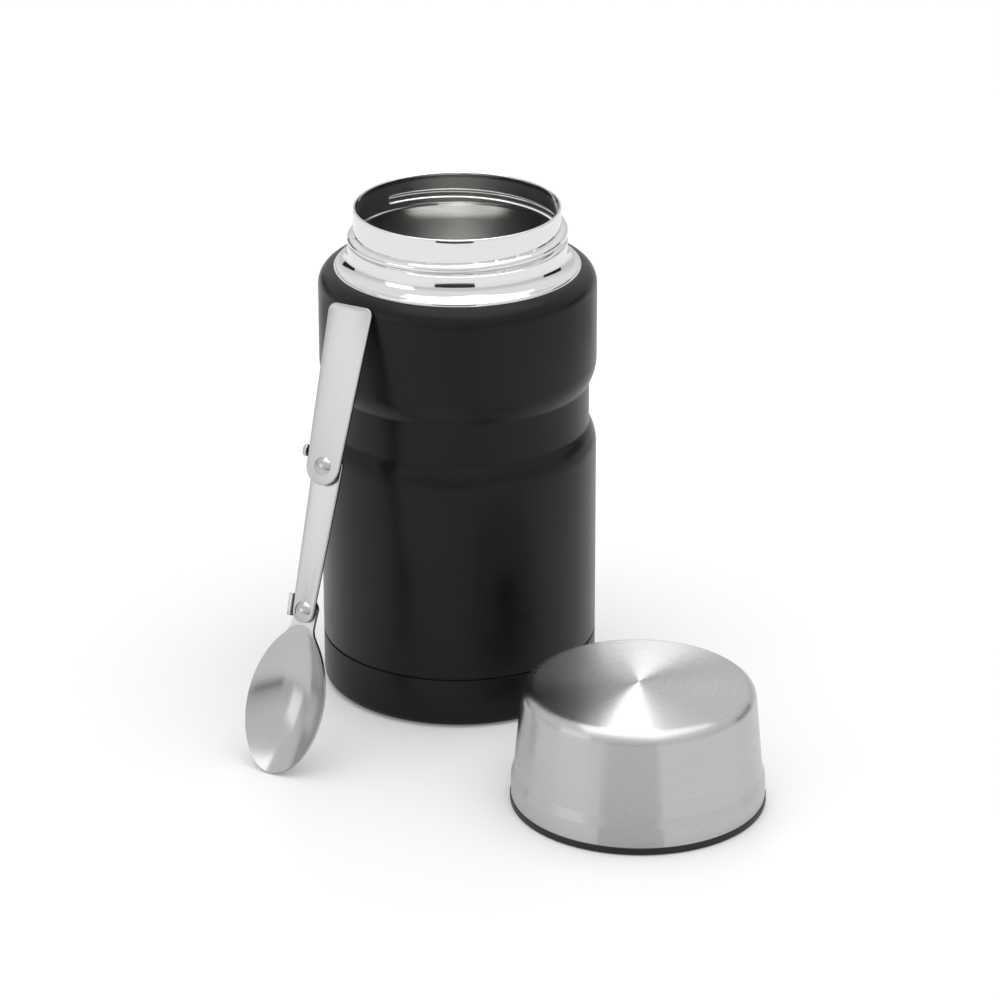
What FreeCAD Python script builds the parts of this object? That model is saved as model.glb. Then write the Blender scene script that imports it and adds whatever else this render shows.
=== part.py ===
import FreeCAD, Part
import math
import os

# Wide-mouth insulated food jar, standing open, with its screw lid set down beside it and a
# three-piece folding spoon leaning on the body.  Millimetres, +Z up.  The jar stands on z = 0
# with its axis through the origin, and -Y is the side the viewer looks from.

V = FreeCAD.Vector
AXIS_Z = V(0, 0, 1)

# Jar, outside
BODY_R = 50.0
SHELL_T = 0.6
SHOULDER_ROUND = 7.0
SHELL_LIP_Z = 160.165
WAIST_DEPTH = 2.65
WAIST_TOP_Z = 116.2
WAIST_LOW_Z = 101.3
WAIST_CONVEX_R = 16.0
WAIST_CONCAVE_R = 2.0
SEAM_Z = 18.6
SEAM_GAP = 0.8
JOGGLE_LOW_Z = 6.4
CUP_CORNER_R = 3.6

# Neck and inner vessel
NECK_R = 37.14
NECK_T = 0.8
NECK_FOOT_STEP = 1.66
NECK_BAND_H = 11.16
NECK_STEP_H = 1.6
NECK_FOOT_H = 5.8
WALL_SPACE = 8.0
VESSEL_SLOPE = 3.0
VESSEL_T = 0.6
VESSEL_BOTTOM_Z = 12.0
VESSEL_CORNER_R = 12.0
FOIL_T = 0.12
FOIL_LOW_MARGIN = 4.0
FOIL_TOP_MARGIN = 6.0

# Rolled thread on the neck: a helical bead outside and the matching groove inside
THREAD_PITCH = 5.2
THREAD_START_DEG = 100.0
THREAD_END_DEG = 490.0
THREAD_DROP_AT_180 = 0.7
BEAD_R = 1.8
BEAD_STAND = 0.61
GROOVE_R = 1.3
GROOVE_STAND = 0.31

# Bare flared collar between the neck and the coated shell
COLLAR_T = 0.6
COLLAR_RISE = 0.735
COLLAR_CREASE_H = 4.5
COLLAR_FOOT_H = 2.7
COLLAR_FLARE = 3.6
COLLAR_FLAT_W = 1.3
COLLAR_HEM_H = 2.3

# Vacuum space fittings
END_PLATE_Z = 6.4
END_FLANGE_Z = 11.5
PORT_R = 1.2
SEAL_R = 3.5
SEAL_T = 1.0
GETTER_R = 6.0
GETTER_T = 1.2

# Lid, in its own frame with z = 0 at its rim, then set down at LID_AT
LID_AT = V(62.1, -105.7, 0)
LID_T = 0.5
LINER_FIT = 2.46
LINER_T = 1.9
LINER_CEILING_Z = 23.0
LINER_CEILING_T = 2.0
LINER_RIB_W = 1.6
LINER_RIB_H = 3.4
RIM_RING_EDGE = 0.33
RIM_RING_H = 2.6
RIM_RING_ROUND = 0.5
SKIRT_TOP_Z = 9.3
LID_STEP_IN = 1.16
LID_STEP_Z = 13.2
LID_STEP_OUT = 1.74
LID_TAPER = 2.34
LID_CROWN_H = 5.5
LID_CORNER_R = 5.0
LID_TOP_Z = 44.5
RIDGE_R = 1.1
RIDGE_SUNK = 0.3
RIDGE_Z = 10.6
RIDGE_TURNS = 0.9
GASKET_W = 5.3
GASKET_T = 2.0
GASKET_FIT = 0.4
RIB_FIT = 0.3
FOAM_FIT = 3.3
FOAM_TOP_DROP = 2.5

# Spoon, drawn in the plane of its front faces: x to the viewer's right, y up the spoon, z at
# the viewer.  The plane turns SPOON_AZIMUTH towards the left and leans back SPOON_LEAN.  The
# bowl's tip rests on the table, and the handle's right edge leans on the shell.
SPOON_AZIMUTH = 32.0
SPOON_LEAN = 22.04
SPOON_ASIDE = 8.368
HANDLE_REST_GAP = 0.27
BOWL_TIP = V(-3.601, -0.019, 0)
BOWL_ANGLE = 2.14
LINK_ANGLE = -1.73
HANDLE_ANGLE = -1.23
SHEET = 1.5
BOWL_T = 1.4
JOINT_AIR = 0.05
LOW_SPACE = 0.5
TOP_SPACE = 1.5
SHANK_R = 1.6
SHANK_FIT = 0.03
HEAD_R = 3.3
HEAD_H = 1.3
TAIL_R = 2.6
TAIL_H = 0.8
TOP_TAIL_H = 0.4
WASHER_R = 3.6

BOWL_LENGTH = 58.94
TANG_REACH = 5.94
BOWL_WIDTH = 15.75
BOWL_EGG = 0.23
BOWL_DEPTH = 8.0
TANG_HALF = 4.6
TANG_END_R = 4.8
TANG_START = 2.4
LINK_LENGTH = 51.574
LINK_LOW_R = 4.3
LINK_TOP_R = 6.05
HANDLE_END_R = 6.7
HANDLE_TOP_HALF = 8.95
HANDLE_LENGTH = 57.3
HANDLE_CORNER_R = 3.0
STOP_GAP = 0.25
BOWL_STOP_Y = (-2.4, 5.5)
BOWL_STOP_FRONT = 2.7
HANDLE_STOP_GAP = 1.1
HANDLE_STOP_Y = 4.3
HANDLE_STOP_R = 2.15

# Sizes that follow from those above
WAIST_R = BODY_R - WAIST_DEPTH
NECK_FOOT_R = NECK_R + NECK_FOOT_STEP
COLLAR_FLAT_R = NECK_FOOT_R + COLLAR_FLARE
SHELL_LIP_R = COLLAR_FLAT_R + COLLAR_FLAT_W
COLLAR_FLAT_Z = SHELL_LIP_Z + COLLAR_RISE
COLLAR_CREASE_Z = COLLAR_FLAT_Z + COLLAR_CREASE_H
COLLAR_HEM_Z = COLLAR_FLAT_Z - COLLAR_HEM_H
FOOT_LOW_Z = COLLAR_FLAT_Z + COLLAR_FOOT_H
STEP_LOW_Z = FOOT_LOW_Z + NECK_FOOT_H
STEP_TOP_Z = STEP_LOW_Z + NECK_STEP_H
RIM_Z = STEP_TOP_Z + NECK_BAND_H
VESSEL_R = BODY_R - WALL_SPACE
VESSEL_SHOULDER_Z = FOOT_LOW_Z - VESSEL_SLOPE * abs(VESSEL_R - NECK_FOOT_R)
VESSEL_WELD_Z = VESSEL_BOTTOM_Z + VESSEL_CORNER_R
LINER_BORE_R = NECK_R + LINER_FIT
LINER_WALL_R = LINER_BORE_R + LINER_T
STEP_R = LINER_WALL_R + LID_STEP_OUT
LID_SIDE_R = STEP_R - LID_TAPER
LID_SIDE_TOP_Z = LID_TOP_Z - LID_CROWN_H
SKIRT_R = STEP_R + LID_STEP_IN
RIM_RING_R = SKIRT_R + RIM_RING_EDGE
GASKET_OUT_R = LINER_BORE_R - GASKET_FIT
GASKET_IN_R = GASKET_OUT_R - GASKET_W
RIB_OUT_R = GASKET_IN_R - RIB_FIT
RIB_IN_R = RIB_OUT_R - LINER_RIB_W
BOWL_HALF = 0.5 * (BOWL_LENGTH - TANG_REACH)
TANG_FROM = 2.0 * BOWL_HALF - TANG_START
LINK_BACK = LOW_SPACE
LINK_FRONT = LINK_BACK + SHEET
HANDLE_BACK = LINK_FRONT + TOP_SPACE
HANDLE_FRONT = HANDLE_BACK + SHEET


def line(p, q):
    """A straight stretch of a turned profile, from (r, z) to (r, z)."""
    return (p, None, q)


def arc(cr, cz, radius, a0, a1):
    """A round stretch of a turned profile about (cr, cz), angles in degrees."""
    pts = []
    for a in (a0, 0.5 * (a0 + a1), a1):
        t = math.radians(a)
        pts.append((cr + radius * math.cos(t), cz + radius * math.sin(t)))
    return tuple(pts)


def reverse(stretches):
    return [(q, m, p) for p, m, q in reversed(stretches)]


def apart(p, q):
    return math.hypot(p[0] - q[0], p[1] - q[1]) > 1e-6


def turned(stretches):
    """Revolve a closed profile, given as stretches whose ends are joined by straight lines."""
    edges = []
    count = len(stretches)
    for i, (p, m, q) in enumerate(stretches):
        a, b = V(p[0], 0, p[1]), V(q[0], 0, q[1])
        if m is None:
            if apart(p, q):
                edges.append(Part.makeLine(a, b))
        else:
            edges.append(Part.Arc(a, V(m[0], 0, m[1]), b).toShape())
        nxt = stretches[(i + 1) % count][0]
        if apart(q, nxt):
            edges.append(Part.makeLine(b, V(nxt[0], 0, nxt[1])))
    face = Part.Face(Part.Wire(edges))
    return face.revolve(V(0, 0, 0), AXIS_Z, 360)


def turned_points(points):
    """Revolve a closed polygon of (r, z) points."""
    return turned([line(p, p) for p in points])


def cylinder(radius, z0, z1, x=0.0, y=0.0):
    return Part.makeCylinder(radius, z1 - z0, V(x, y, z0))


def tube(inner, outer, z0, z1):
    return turned_points([(inner, z0), (outer, z0), (outer, z1), (inner, z1)])


def helix_rod(centre_r, rod_r, z0, start_deg, end_deg):
    """A round rod along the thread's helix, with a ball on each end."""
    turns = (end_deg - start_deg) / 360.0
    path = Part.makeHelix(THREAD_PITCH, turns * THREAD_PITCH, centre_r)
    circle = Part.Wire([Part.makeCircle(rod_r, V(centre_r, 0, 0), V(0, 1, 0))])
    rod = Part.Wire(path.Edges).makePipeShell([circle], True, True)
    rise = turns * THREAD_PITCH
    end = math.radians(turns * 360.0)
    balls = [Part.makeSphere(rod_r, V(centre_r, 0, 0))]
    balls.append(Part.makeSphere(rod_r, V(centre_r * math.cos(end), centre_r * math.sin(end), rise)))
    rod = rod.fuse(balls)
    rod.rotate(V(0, 0, 0), AXIS_Z, start_deg)
    rod.translate(V(0, 0, z0))
    return rod


def shoulder_height():
    """Height of the shoulder rounding's centre, so that the rounding ends at the shell's lip."""
    inward = SHELL_LIP_R - (BODY_R - SHOULDER_ROUND)
    return SHELL_LIP_Z - math.sqrt(SHOULDER_ROUND ** 2 - inward ** 2)


def shell_contour(inset):
    """The coated shell's outside, top to bottom, moved inward by inset."""
    depth = BODY_R - WAIST_R
    both = WAIST_CONVEX_R + WAIST_CONCAVE_R
    turn = math.degrees(math.acos(1.0 - depth / both))
    rise = both * math.sin(math.radians(turn))
    drum_low = WAIST_TOP_Z + rise
    drum_top = WAIST_LOW_Z - rise
    round_r = SHOULDER_ROUND - inset
    centre_r = BODY_R - SHOULDER_ROUND
    shoulder_z = shoulder_height()
    lip = math.degrees(math.acos((SHELL_LIP_R - centre_r) / round_r))
    convex, concave = WAIST_CONVEX_R - inset, WAIST_CONCAVE_R + inset
    centre_out = BODY_R - WAIST_CONVEX_R
    centre_in = WAIST_R + WAIST_CONCAVE_R
    return [
        arc(centre_r, shoulder_z, round_r, lip, 0),
        arc(centre_out, drum_low, convex, 0, -turn),
        arc(centre_in, WAIST_TOP_Z, concave, 180 - turn, 180),
        arc(centre_in, WAIST_LOW_Z, concave, 180, 180 + turn),
        arc(centre_out, drum_top, convex, turn, 0),
    ]


def make_outer_shell():
    joggle_r = BODY_R - SHELL_T
    outside = shell_contour(0.0)
    outside.append(line((BODY_R, SEAM_Z + SEAM_GAP), (joggle_r, SEAM_Z + SEAM_GAP)))
    outside.append(line((joggle_r, JOGGLE_LOW_Z), (joggle_r - SHELL_T, JOGGLE_LOW_Z)))
    inside = shell_contour(SHELL_T)
    step_z = SEAM_Z + SEAM_GAP + SHELL_T
    inside.append(line((BODY_R - SHELL_T, step_z), (joggle_r - SHELL_T, step_z)))
    return turned(outside + reverse(inside))


def make_base_cup():
    corner = CUP_CORNER_R
    centre_r = BODY_R - corner
    inner_r = BODY_R - SHELL_T
    profile = [
        line((0, 0), (centre_r, 0)),
        arc(centre_r, corner, corner, -90, 0),
        line((BODY_R, SEAM_Z), (inner_r, SEAM_Z)),
        arc(centre_r, corner, corner - SHELL_T, 0, -90),
        line((0, SHELL_T), (0, SHELL_T)),
    ]
    return turned(profile)


def make_end_plate():
    wall_r = BODY_R - 2.0 * SHELL_T
    bend = 2.0
    centre_r = wall_r - bend
    profile = [
        line((PORT_R, END_PLATE_Z), (centre_r, END_PLATE_Z)),
        arc(centre_r, END_PLATE_Z + bend, bend, -90, 0),
        line((wall_r, END_FLANGE_Z), (wall_r - SHELL_T, END_FLANGE_Z)),
        arc(centre_r, END_PLATE_Z + bend, bend - SHELL_T, 0, -90),
        line((PORT_R, END_PLATE_Z + SHELL_T), (PORT_R, END_PLATE_Z + SHELL_T)),
    ]
    return turned(profile)


def make_evacuation_seal():
    cap = cylinder(SEAL_R, END_PLATE_Z - SEAL_T, END_PLATE_Z)
    plug = cylinder(PORT_R, END_PLATE_Z, END_PLATE_Z + SHELL_T)
    return cap.fuse(plug).removeSplitter()


def make_inner_vessel():
    """Neck and wall in one sheet: plain band, step out, foot under the collar, then the wall."""
    lip = 0.5 * NECK_T
    bore = NECK_R - NECK_T
    foot_bore = NECK_FOOT_R - NECK_T
    wall_bore = VESSEL_R - VESSEL_T
    outside = [
        arc(NECK_R - lip, RIM_Z - lip, lip, 180, 0),
        line((NECK_R, STEP_TOP_Z), (NECK_FOOT_R, STEP_LOW_Z)),
        line((NECK_FOOT_R, FOOT_LOW_Z), (VESSEL_R, VESSEL_SHOULDER_Z)),
        line((VESSEL_R, VESSEL_WELD_Z), (wall_bore, VESSEL_WELD_Z)),
    ]
    inside = [
        line((wall_bore, VESSEL_SHOULDER_Z), (foot_bore, FOOT_LOW_Z)),
        line((foot_bore, STEP_LOW_Z - 0.3), (bore, STEP_TOP_Z - 0.3)),
    ]
    body = turned(outside + inside)
    start = THREAD_START_DEG
    z0 = STEP_TOP_Z - THREAD_DROP_AT_180 + (start - 180.0) / 360.0 * THREAD_PITCH
    bead = helix_rod(NECK_R + BEAD_STAND, BEAD_R, z0, start, THREAD_END_DEG)
    body = body.fuse(bead)
    body = body.cut(cylinder(bore, STEP_TOP_Z - 0.3, RIM_Z))
    body = body.cut(cylinder(foot_bore, FOOT_LOW_Z, STEP_LOW_Z - 0.3))
    cone = turned_points([(0, STEP_LOW_Z - 0.3), (foot_bore, STEP_LOW_Z - 0.3),
                          (bore, STEP_TOP_Z - 0.3), (0, STEP_TOP_Z - 0.3)])
    body = body.cut(cone)
    body = body.cut(tube(NECK_FOOT_R, NECK_FOOT_R + 2.0 * BEAD_R, FOOT_LOW_Z, STEP_LOW_Z))
    groove = helix_rod(NECK_R + GROOVE_STAND, GROOVE_R, z0, start, THREAD_END_DEG)
    return body.cut(groove)


def make_vessel_bottom():
    corner = VESSEL_CORNER_R
    centre_r = VESSEL_R - corner
    centre_z = VESSEL_BOTTOM_Z + corner
    inner = corner - VESSEL_T
    profile = [
        line((0, VESSEL_BOTTOM_Z), (centre_r, VESSEL_BOTTOM_Z)),
        arc(centre_r, centre_z, corner, -90, 0),
        arc(centre_r, centre_z, inner, 0, -90),
        line((0, VESSEL_BOTTOM_Z + VESSEL_T), (0, VESSEL_BOTTOM_Z + VESSEL_T)),
    ]
    return turned(profile)


def make_neck_collar():
    sleeve_r = NECK_FOOT_R + COLLAR_T
    hem_r = SHELL_LIP_R
    soft = 0.4
    mid_r = NECK_FOOT_R + 0.486 * COLLAR_FLARE
    mid_z = COLLAR_FLAT_Z + 0.367 * COLLAR_CREASE_H
    under_r = NECK_FOOT_R + COLLAR_FLARE / 3.0
    under_z = COLLAR_FLAT_Z + 0.289 * COLLAR_CREASE_H
    profile = [
        line((NECK_FOOT_R, STEP_LOW_Z), (sleeve_r - 0.2, STEP_LOW_Z)),
        line((sleeve_r, STEP_LOW_Z - 0.2), (sleeve_r, COLLAR_CREASE_Z)),
        ((sleeve_r, COLLAR_CREASE_Z), (mid_r, mid_z), (COLLAR_FLAT_R, COLLAR_FLAT_Z + 0.1)),
        line((COLLAR_FLAT_R, COLLAR_FLAT_Z + 0.1), (hem_r - soft, COLLAR_FLAT_Z)),
        arc(hem_r - soft, COLLAR_FLAT_Z - soft, soft, 90, 0),
        line((hem_r, COLLAR_HEM_Z), (hem_r - COLLAR_T, COLLAR_HEM_Z)),
        line((hem_r - COLLAR_T, COLLAR_FLAT_Z - COLLAR_T), (COLLAR_FLAT_R, COLLAR_FLAT_Z - COLLAR_T)),
        ((COLLAR_FLAT_R, COLLAR_FLAT_Z - COLLAR_T), (under_r, under_z), (NECK_FOOT_R, COLLAR_CREASE_Z - 0.4)),
    ]
    return turned(profile)


def make_foil():
    low = VESSEL_WELD_Z + FOIL_LOW_MARGIN
    return tube(VESSEL_R, VESSEL_R + FOIL_T, low, VESSEL_SHOULDER_Z - FOIL_TOP_MARGIN)


def make_getter():
    return cylinder(GETTER_R, VESSEL_BOTTOM_Z - GETTER_T, VESSEL_BOTTOM_Z)


def lid_contour(inset):
    """The steel lid's outside from its lower edge up to the axis, moved inward by inset."""
    lean = math.degrees(math.atan((STEP_R - LID_SIDE_R) / (LID_SIDE_TOP_Z - LID_STEP_Z)))
    corner = LID_CORNER_R
    centre_r = LID_SIDE_R - corner * math.cos(math.radians(lean))
    centre_z = LID_SIDE_TOP_Z - corner * math.sin(math.radians(lean))
    depth = LID_TOP_Z - centre_z
    dome = (centre_r ** 2 + depth ** 2 - corner ** 2) / (2 * (depth - corner))
    dome_z = LID_TOP_Z - dome
    edge = math.degrees(math.atan2(centre_z - dome_z, centre_r))
    return [
        line((SKIRT_R - inset, RIM_RING_H), (SKIRT_R - inset, SKIRT_TOP_Z)),
        line((STEP_R - inset, LID_STEP_Z), (STEP_R - inset, LID_STEP_Z)),
        arc(centre_r, centre_z, corner - inset, lean, edge),
        arc(0, dome_z, dome - inset, edge, 90),
    ]


def make_lid_shell():
    return turned(lid_contour(0.0) + reverse(lid_contour(LID_T)))


def make_lid_liner():
    soft = RIM_RING_ROUND
    seat_r = SKIRT_R - LID_T
    top = LINER_CEILING_Z + LINER_CEILING_T
    rib_z = LINER_CEILING_Z - LINER_RIB_H
    profile = [
        line((LINER_BORE_R + 0.6, 0), (RIM_RING_R - soft, 0)),
        arc(RIM_RING_R - soft, soft, soft, -90, 0),
        arc(RIM_RING_R - soft, RIM_RING_H - soft, soft, 0, 90),
        line((seat_r, RIM_RING_H), (seat_r, SKIRT_TOP_Z - 0.5)),
        line((LINER_WALL_R, SKIRT_TOP_Z - 0.5), (LINER_WALL_R, top - 3.0)),
        line((LINER_WALL_R - 3.0, top), (0, top)),
        line((0, LINER_CEILING_Z), (RIB_IN_R, LINER_CEILING_Z)),
        line((RIB_IN_R, rib_z), (RIB_OUT_R, rib_z)),
        line((RIB_OUT_R, LINER_CEILING_Z), (LINER_BORE_R, LINER_CEILING_Z)),
        line((LINER_BORE_R, 0.6), (LINER_BORE_R, 0.6)),
    ]
    body = turned(profile)
    ridge = helix_rod(LINER_BORE_R - RIDGE_SUNK, RIDGE_R, RIDGE_Z, 0.0, 360.0 * RIDGE_TURNS)
    return body.fuse(ridge).removeSplitter()


def make_lid_gasket():
    return tube(GASKET_IN_R, GASKET_OUT_R, LINER_CEILING_Z - GASKET_T, LINER_CEILING_Z)


def make_lid_insulation():
    base = LINER_CEILING_Z + LINER_CEILING_T
    return cylinder(LID_SIDE_R - FOAM_FIT, base, LID_TOP_Z - FOAM_TOP_DROP)


def further(point, length, angle):
    """The point that lies length beyond another, up the spoon and turned clockwise by angle."""
    t = math.radians(angle)
    return point.add(V(length * math.sin(t), length * math.cos(t), 0))


def joint_low():
    return further(BOWL_TIP, BOWL_LENGTH, BOWL_ANGLE)


def joint_top():
    return further(joint_low(), LINK_LENGTH, LINK_ANGLE)


def spoon_frame(out):
    """The spoon's plane with its foot at a distance out from the jar's axis."""
    a = math.radians(SPOON_AZIMUTH)
    t = math.radians(SPOON_LEAN)
    right = V(math.cos(a), -math.sin(a), 0)
    face = V(-math.sin(a) * math.cos(t), -math.cos(a) * math.cos(t), math.sin(t))
    up = face.cross(right)
    o = V(-out * math.sin(a), -out * math.cos(a), 0).sub(V(right).multiply(SPOON_ASIDE))
    o.z = BOWL_T * math.sin(t) - BOWL_TIP.y * math.cos(t)
    m = FreeCAD.Matrix(right.x, up.x, face.x, o.x, right.y, up.y, face.y, o.y,
                       right.z, up.z, face.z, o.z, 0, 0, 0, 1)
    return FreeCAD.Placement(m)


def handle_edge():
    """Points down the handle's right edge at its back, from the rounded corner, as it is placed."""
    r = HANDLE_CORNER_R
    points = []
    for i in range(9):
        t = math.radians(90.0 * i / 8)
        points.append(V(HANDLE_TOP_HALF - r + r * math.sin(t), HANDLE_LENGTH - r + r * math.cos(t), HANDLE_BACK))
    for i in range(1, 40):
        share = i / 40.0
        x = HANDLE_TOP_HALF + (HANDLE_END_R - HANDLE_TOP_HALF) * share
        points.append(V(x, (HANDLE_LENGTH - r) * (1.0 - share), HANDLE_BACK))
    turn = FreeCAD.Rotation(AXIS_Z, -HANDLE_ANGLE)
    return [turn.multVec(p).add(joint_top()) for p in points]


def shell_radius(z):
    """Outside radius of the shell at height z, with the waist left out."""
    above = z - shoulder_height()
    if above <= 0.0:
        return BODY_R
    if above >= SHOULDER_ROUND or z > SHELL_LIP_Z:
        return 0.0
    return BODY_R - SHOULDER_ROUND + math.sqrt(SHOULDER_ROUND ** 2 - above ** 2)


def spoon_distance():
    """How far out the spoon's foot stands, so that the handle comes to its gap from the shell."""
    points = handle_edge()
    out = 2.0 * BODY_R
    for _ in range(40):
        frame = spoon_frame(out)
        placed = [frame.multVec(p) for p in points]
        slack = min(math.hypot(p.x, p.y) - shell_radius(p.z) for p in placed)
        out -= slack - HANDLE_REST_GAP
    return out


def spoon_place(shape, frame):
    """Carry a shape from the spoon's own plane to where the spoon leans on the jar."""
    placed = shape.copy()
    placed.Placement = frame.multiply(placed.Placement)
    return placed


def at_joint(shape, pivot, angle):
    """Turn a leaf drawn pointing up from its pivot clockwise by angle, and move it there."""
    out = shape.copy()
    out.rotate(V(0, 0, 0), AXIS_Z, -angle)
    out.translate(pivot)
    return out


def tapered_leaf(length, low_r, high_r, z0, z1):
    """A flat leaf whose outline hugs a circle at the pivot and another further up."""
    a = math.asin((high_r - low_r) / length)
    c, s = math.cos(a), math.sin(a)
    low_right = V(low_r * c, -low_r * s, z0)
    high_right = V(high_r * c, length - high_r * s, z0)
    low_left = V(-low_right.x, low_right.y, z0)
    high_left = V(-high_right.x, high_right.y, z0)
    edges = [
        Part.makeLine(low_right, high_right),
        Part.Arc(high_right, V(0, length + high_r, z0), high_left).toShape(),
        Part.makeLine(high_left, low_left),
        Part.Arc(low_left, V(0, -low_r, z0), low_right).toShape(),
    ]
    return Part.Face(Part.Wire(edges)).extrude(V(0, 0, z1 - z0))


def pin_hole(y, z0, z1):
    return cylinder(SHANK_R + SHANK_FIT, z0 - 1, z1 + 1, 0, y)


def make_handle():
    """Drawn from its pivot up; the top is square with rounded corners."""
    a = math.asin((HANDLE_TOP_HALF - HANDLE_END_R) / HANDLE_LENGTH)
    c, s = math.cos(a), math.sin(a)
    z = HANDLE_BACK
    right = V(HANDLE_END_R * c, -HANDLE_END_R * s, z)
    left = V(-right.x, right.y, z)
    top_right = V(HANDLE_TOP_HALF, HANDLE_LENGTH, z)
    top_left = V(-HANDLE_TOP_HALF, HANDLE_LENGTH, z)
    edges = [
        Part.makeLine(right, top_right),
        Part.makeLine(top_right, top_left),
        Part.makeLine(top_left, left),
        Part.Arc(left, V(0, -HANDLE_END_R, z), right).toShape(),
    ]
    leaf = Part.Face(Part.Wire(edges)).extrude(V(0, 0, SHEET))
    corners = [e for e in leaf.Edges if abs(e.BoundBox.ZLength - SHEET) < 1e-3
               and e.BoundBox.YMin > HANDLE_LENGTH - 1]
    leaf = leaf.makeFillet(HANDLE_CORNER_R, corners)
    return leaf.cut(pin_hole(0, HANDLE_BACK, HANDLE_FRONT))


def make_link():
    """Drawn from the lower joint up, with the handle's half-round stop on its left edge."""
    length = LINK_LENGTH
    leaf = tapered_leaf(length, LINK_LOW_R, LINK_TOP_R, LINK_BACK, LINK_FRONT)
    inner = -(HANDLE_END_R + HANDLE_STOP_GAP)
    outer = inner - SHEET
    y = length + HANDLE_STOP_Y
    ear = Part.makeBox(-outer - 3.0, 2 * HANDLE_STOP_R, SHEET, V(outer, y - HANDLE_STOP_R, LINK_BACK))
    tip = HANDLE_FRONT + 0.1 - HANDLE_STOP_R
    stand = Part.makeBox(SHEET, 2 * HANDLE_STOP_R, tip - LINK_BACK, V(outer, y - HANDLE_STOP_R, LINK_BACK))
    nose = Part.makeCylinder(HANDLE_STOP_R, SHEET, V(outer, y, tip), V(1, 0, 0))
    leaf = leaf.fuse([ear, stand, nose]).removeSplitter()
    leaf = leaf.cut(pin_hole(0, LINK_BACK, LINK_FRONT))
    return leaf.cut(pin_hole(length, LINK_BACK, LINK_FRONT))


def bowl_half_width(q):
    return BOWL_WIDTH * (1.0 - BOWL_EGG * (0.5 * (q + 1.0)) ** 4)


def bowl_height(x, y):
    """Height of the hollow's surface: zero along the rim, BOWL_DEPTH down in the middle."""
    q = y / BOWL_HALF - 1.0
    return -BOWL_DEPTH * (1.0 - (x / bowl_half_width(q)) ** 2 - q * q)


def bowl_surface():
    wide = BOWL_WIDTH + 1.35
    below = -1.6
    long = 2.0 * BOWL_HALF + 3.0
    grid = []
    for i in range(19):
        x = wide * (i / 9.0 - 1.0)
        row = []
        for j in range(25):
            y = below + long * j / 24
            row.append(V(x, y, bowl_height(x, y)))
        grid.append(row)
    surface = Part.BSplineSurface()
    surface.interpolate(grid)
    return surface.toShape()


def bowl_outline():
    """Rim and tang seen from the front, tip at the origin and pivot at BOWL_LENGTH."""
    half = []
    steps = 15
    for i in range(1, steps + 1):
        q = -math.cos(math.radians(148.0 * i / steps))
        half.append((bowl_half_width(q) * math.sqrt(1.0 - q * q), BOWL_HALF * (1.0 + q)))
    end = 2.0 * BOWL_HALF
    tang_y = end + 1.8
    half += [(TANG_HALF + 0.85, end - 2.25), (TANG_HALF + 0.15, end - 0.4), (TANG_HALF, tang_y)]
    points = [V(x, y, 0) for x, y in reversed(half)]
    points.append(V(0, 0, 0))
    points += [V(-x, y, 0) for x, y in half]
    rim = Part.BSplineCurve()
    rim.interpolate(points, InitialTangent=V(0, -1, 0), FinalTangent=V(0, 1, 0))
    shoulder = math.sqrt(TANG_END_R ** 2 - TANG_HALF ** 2)
    left = V(-TANG_HALF, BOWL_LENGTH + shoulder, 0)
    right = V(TANG_HALF, BOWL_LENGTH + shoulder, 0)
    edges = [
        rim.toShape(),
        Part.makeLine(V(-TANG_HALF, tang_y, 0), left),
        Part.Arc(left, V(0, BOWL_LENGTH + TANG_END_R, 0), right).toShape(),
        Part.makeLine(right, V(TANG_HALF, tang_y, 0)),
    ]
    return Part.Wire(edges)


def make_bowl():
    """Bowl with its hollow, flat tang and the folded-up stop, drawn with the tip at the origin."""
    big = BOWL_LENGTH
    outline = bowl_outline()
    outline.translate(V(0, 0, -big))
    prism = Part.Face(outline).extrude(V(0, 0, 2 * big))
    skin = bowl_surface().common(prism)
    dish = skin.Faces[0].extrude(V(0, 0, -BOWL_T))
    dish = dish.cut(Part.makeBox(2 * big, big, big, V(-big, TANG_FROM, 0)))
    plate = prism.common(Part.makeBox(2 * big, big, BOWL_T, V(-big, TANG_FROM, -BOWL_T)))
    plate = plate.cut(bowl_surface().extrude(V(0, 0, big)))
    stop = make_bowl_stop()
    stop.translate(V(0, BOWL_LENGTH, 0))
    bowl = dish.fuse([plate, stop]).removeSplitter()
    return bowl.cut(pin_hole(BOWL_LENGTH, -BOWL_T, BOWL_STOP_FRONT))


def make_bowl_stop():
    """Ear and upstand beside the link's left edge, parallel to that edge."""
    taper = math.degrees(math.asin((LINK_TOP_R - LINK_LOW_R) / LINK_LENGTH))
    inner = -(LINK_LOW_R + STOP_GAP)
    y0, y1 = BOWL_STOP_Y
    ear = Part.makeBox(SHEET + 3.0, y1 - y0, BOWL_T, V(inner - SHEET, y0, -BOWL_T))
    upstand = Part.makeBox(SHEET, y1 - y0, BOWL_T + BOWL_STOP_FRONT, V(inner - SHEET, y0, -BOWL_T))
    stop = ear.fuse(upstand).removeSplitter()
    stop.rotate(V(0, 0, 0), AXIS_Z, BOWL_ANGLE - LINK_ANGLE + taper)
    return stop


def domed_head(z):
    """A shallow round head standing on height z."""
    r = (HEAD_R ** 2 + HEAD_H ** 2) / (2 * HEAD_H)
    ball = Part.makeSphere(r, V(0, 0, z + HEAD_H - r))
    return ball.common(cylinder(HEAD_R + 1, z, z + HEAD_H + 1))


def make_rivet(pivot, tail_z, head_z, tail_h):
    shank = cylinder(SHANK_R, tail_z, head_z)
    tail = cylinder(TAIL_R, tail_z - tail_h, tail_z)
    rivet = shank.fuse([tail, domed_head(head_z)]).removeSplitter()
    rivet.translate(pivot)
    return rivet


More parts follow.
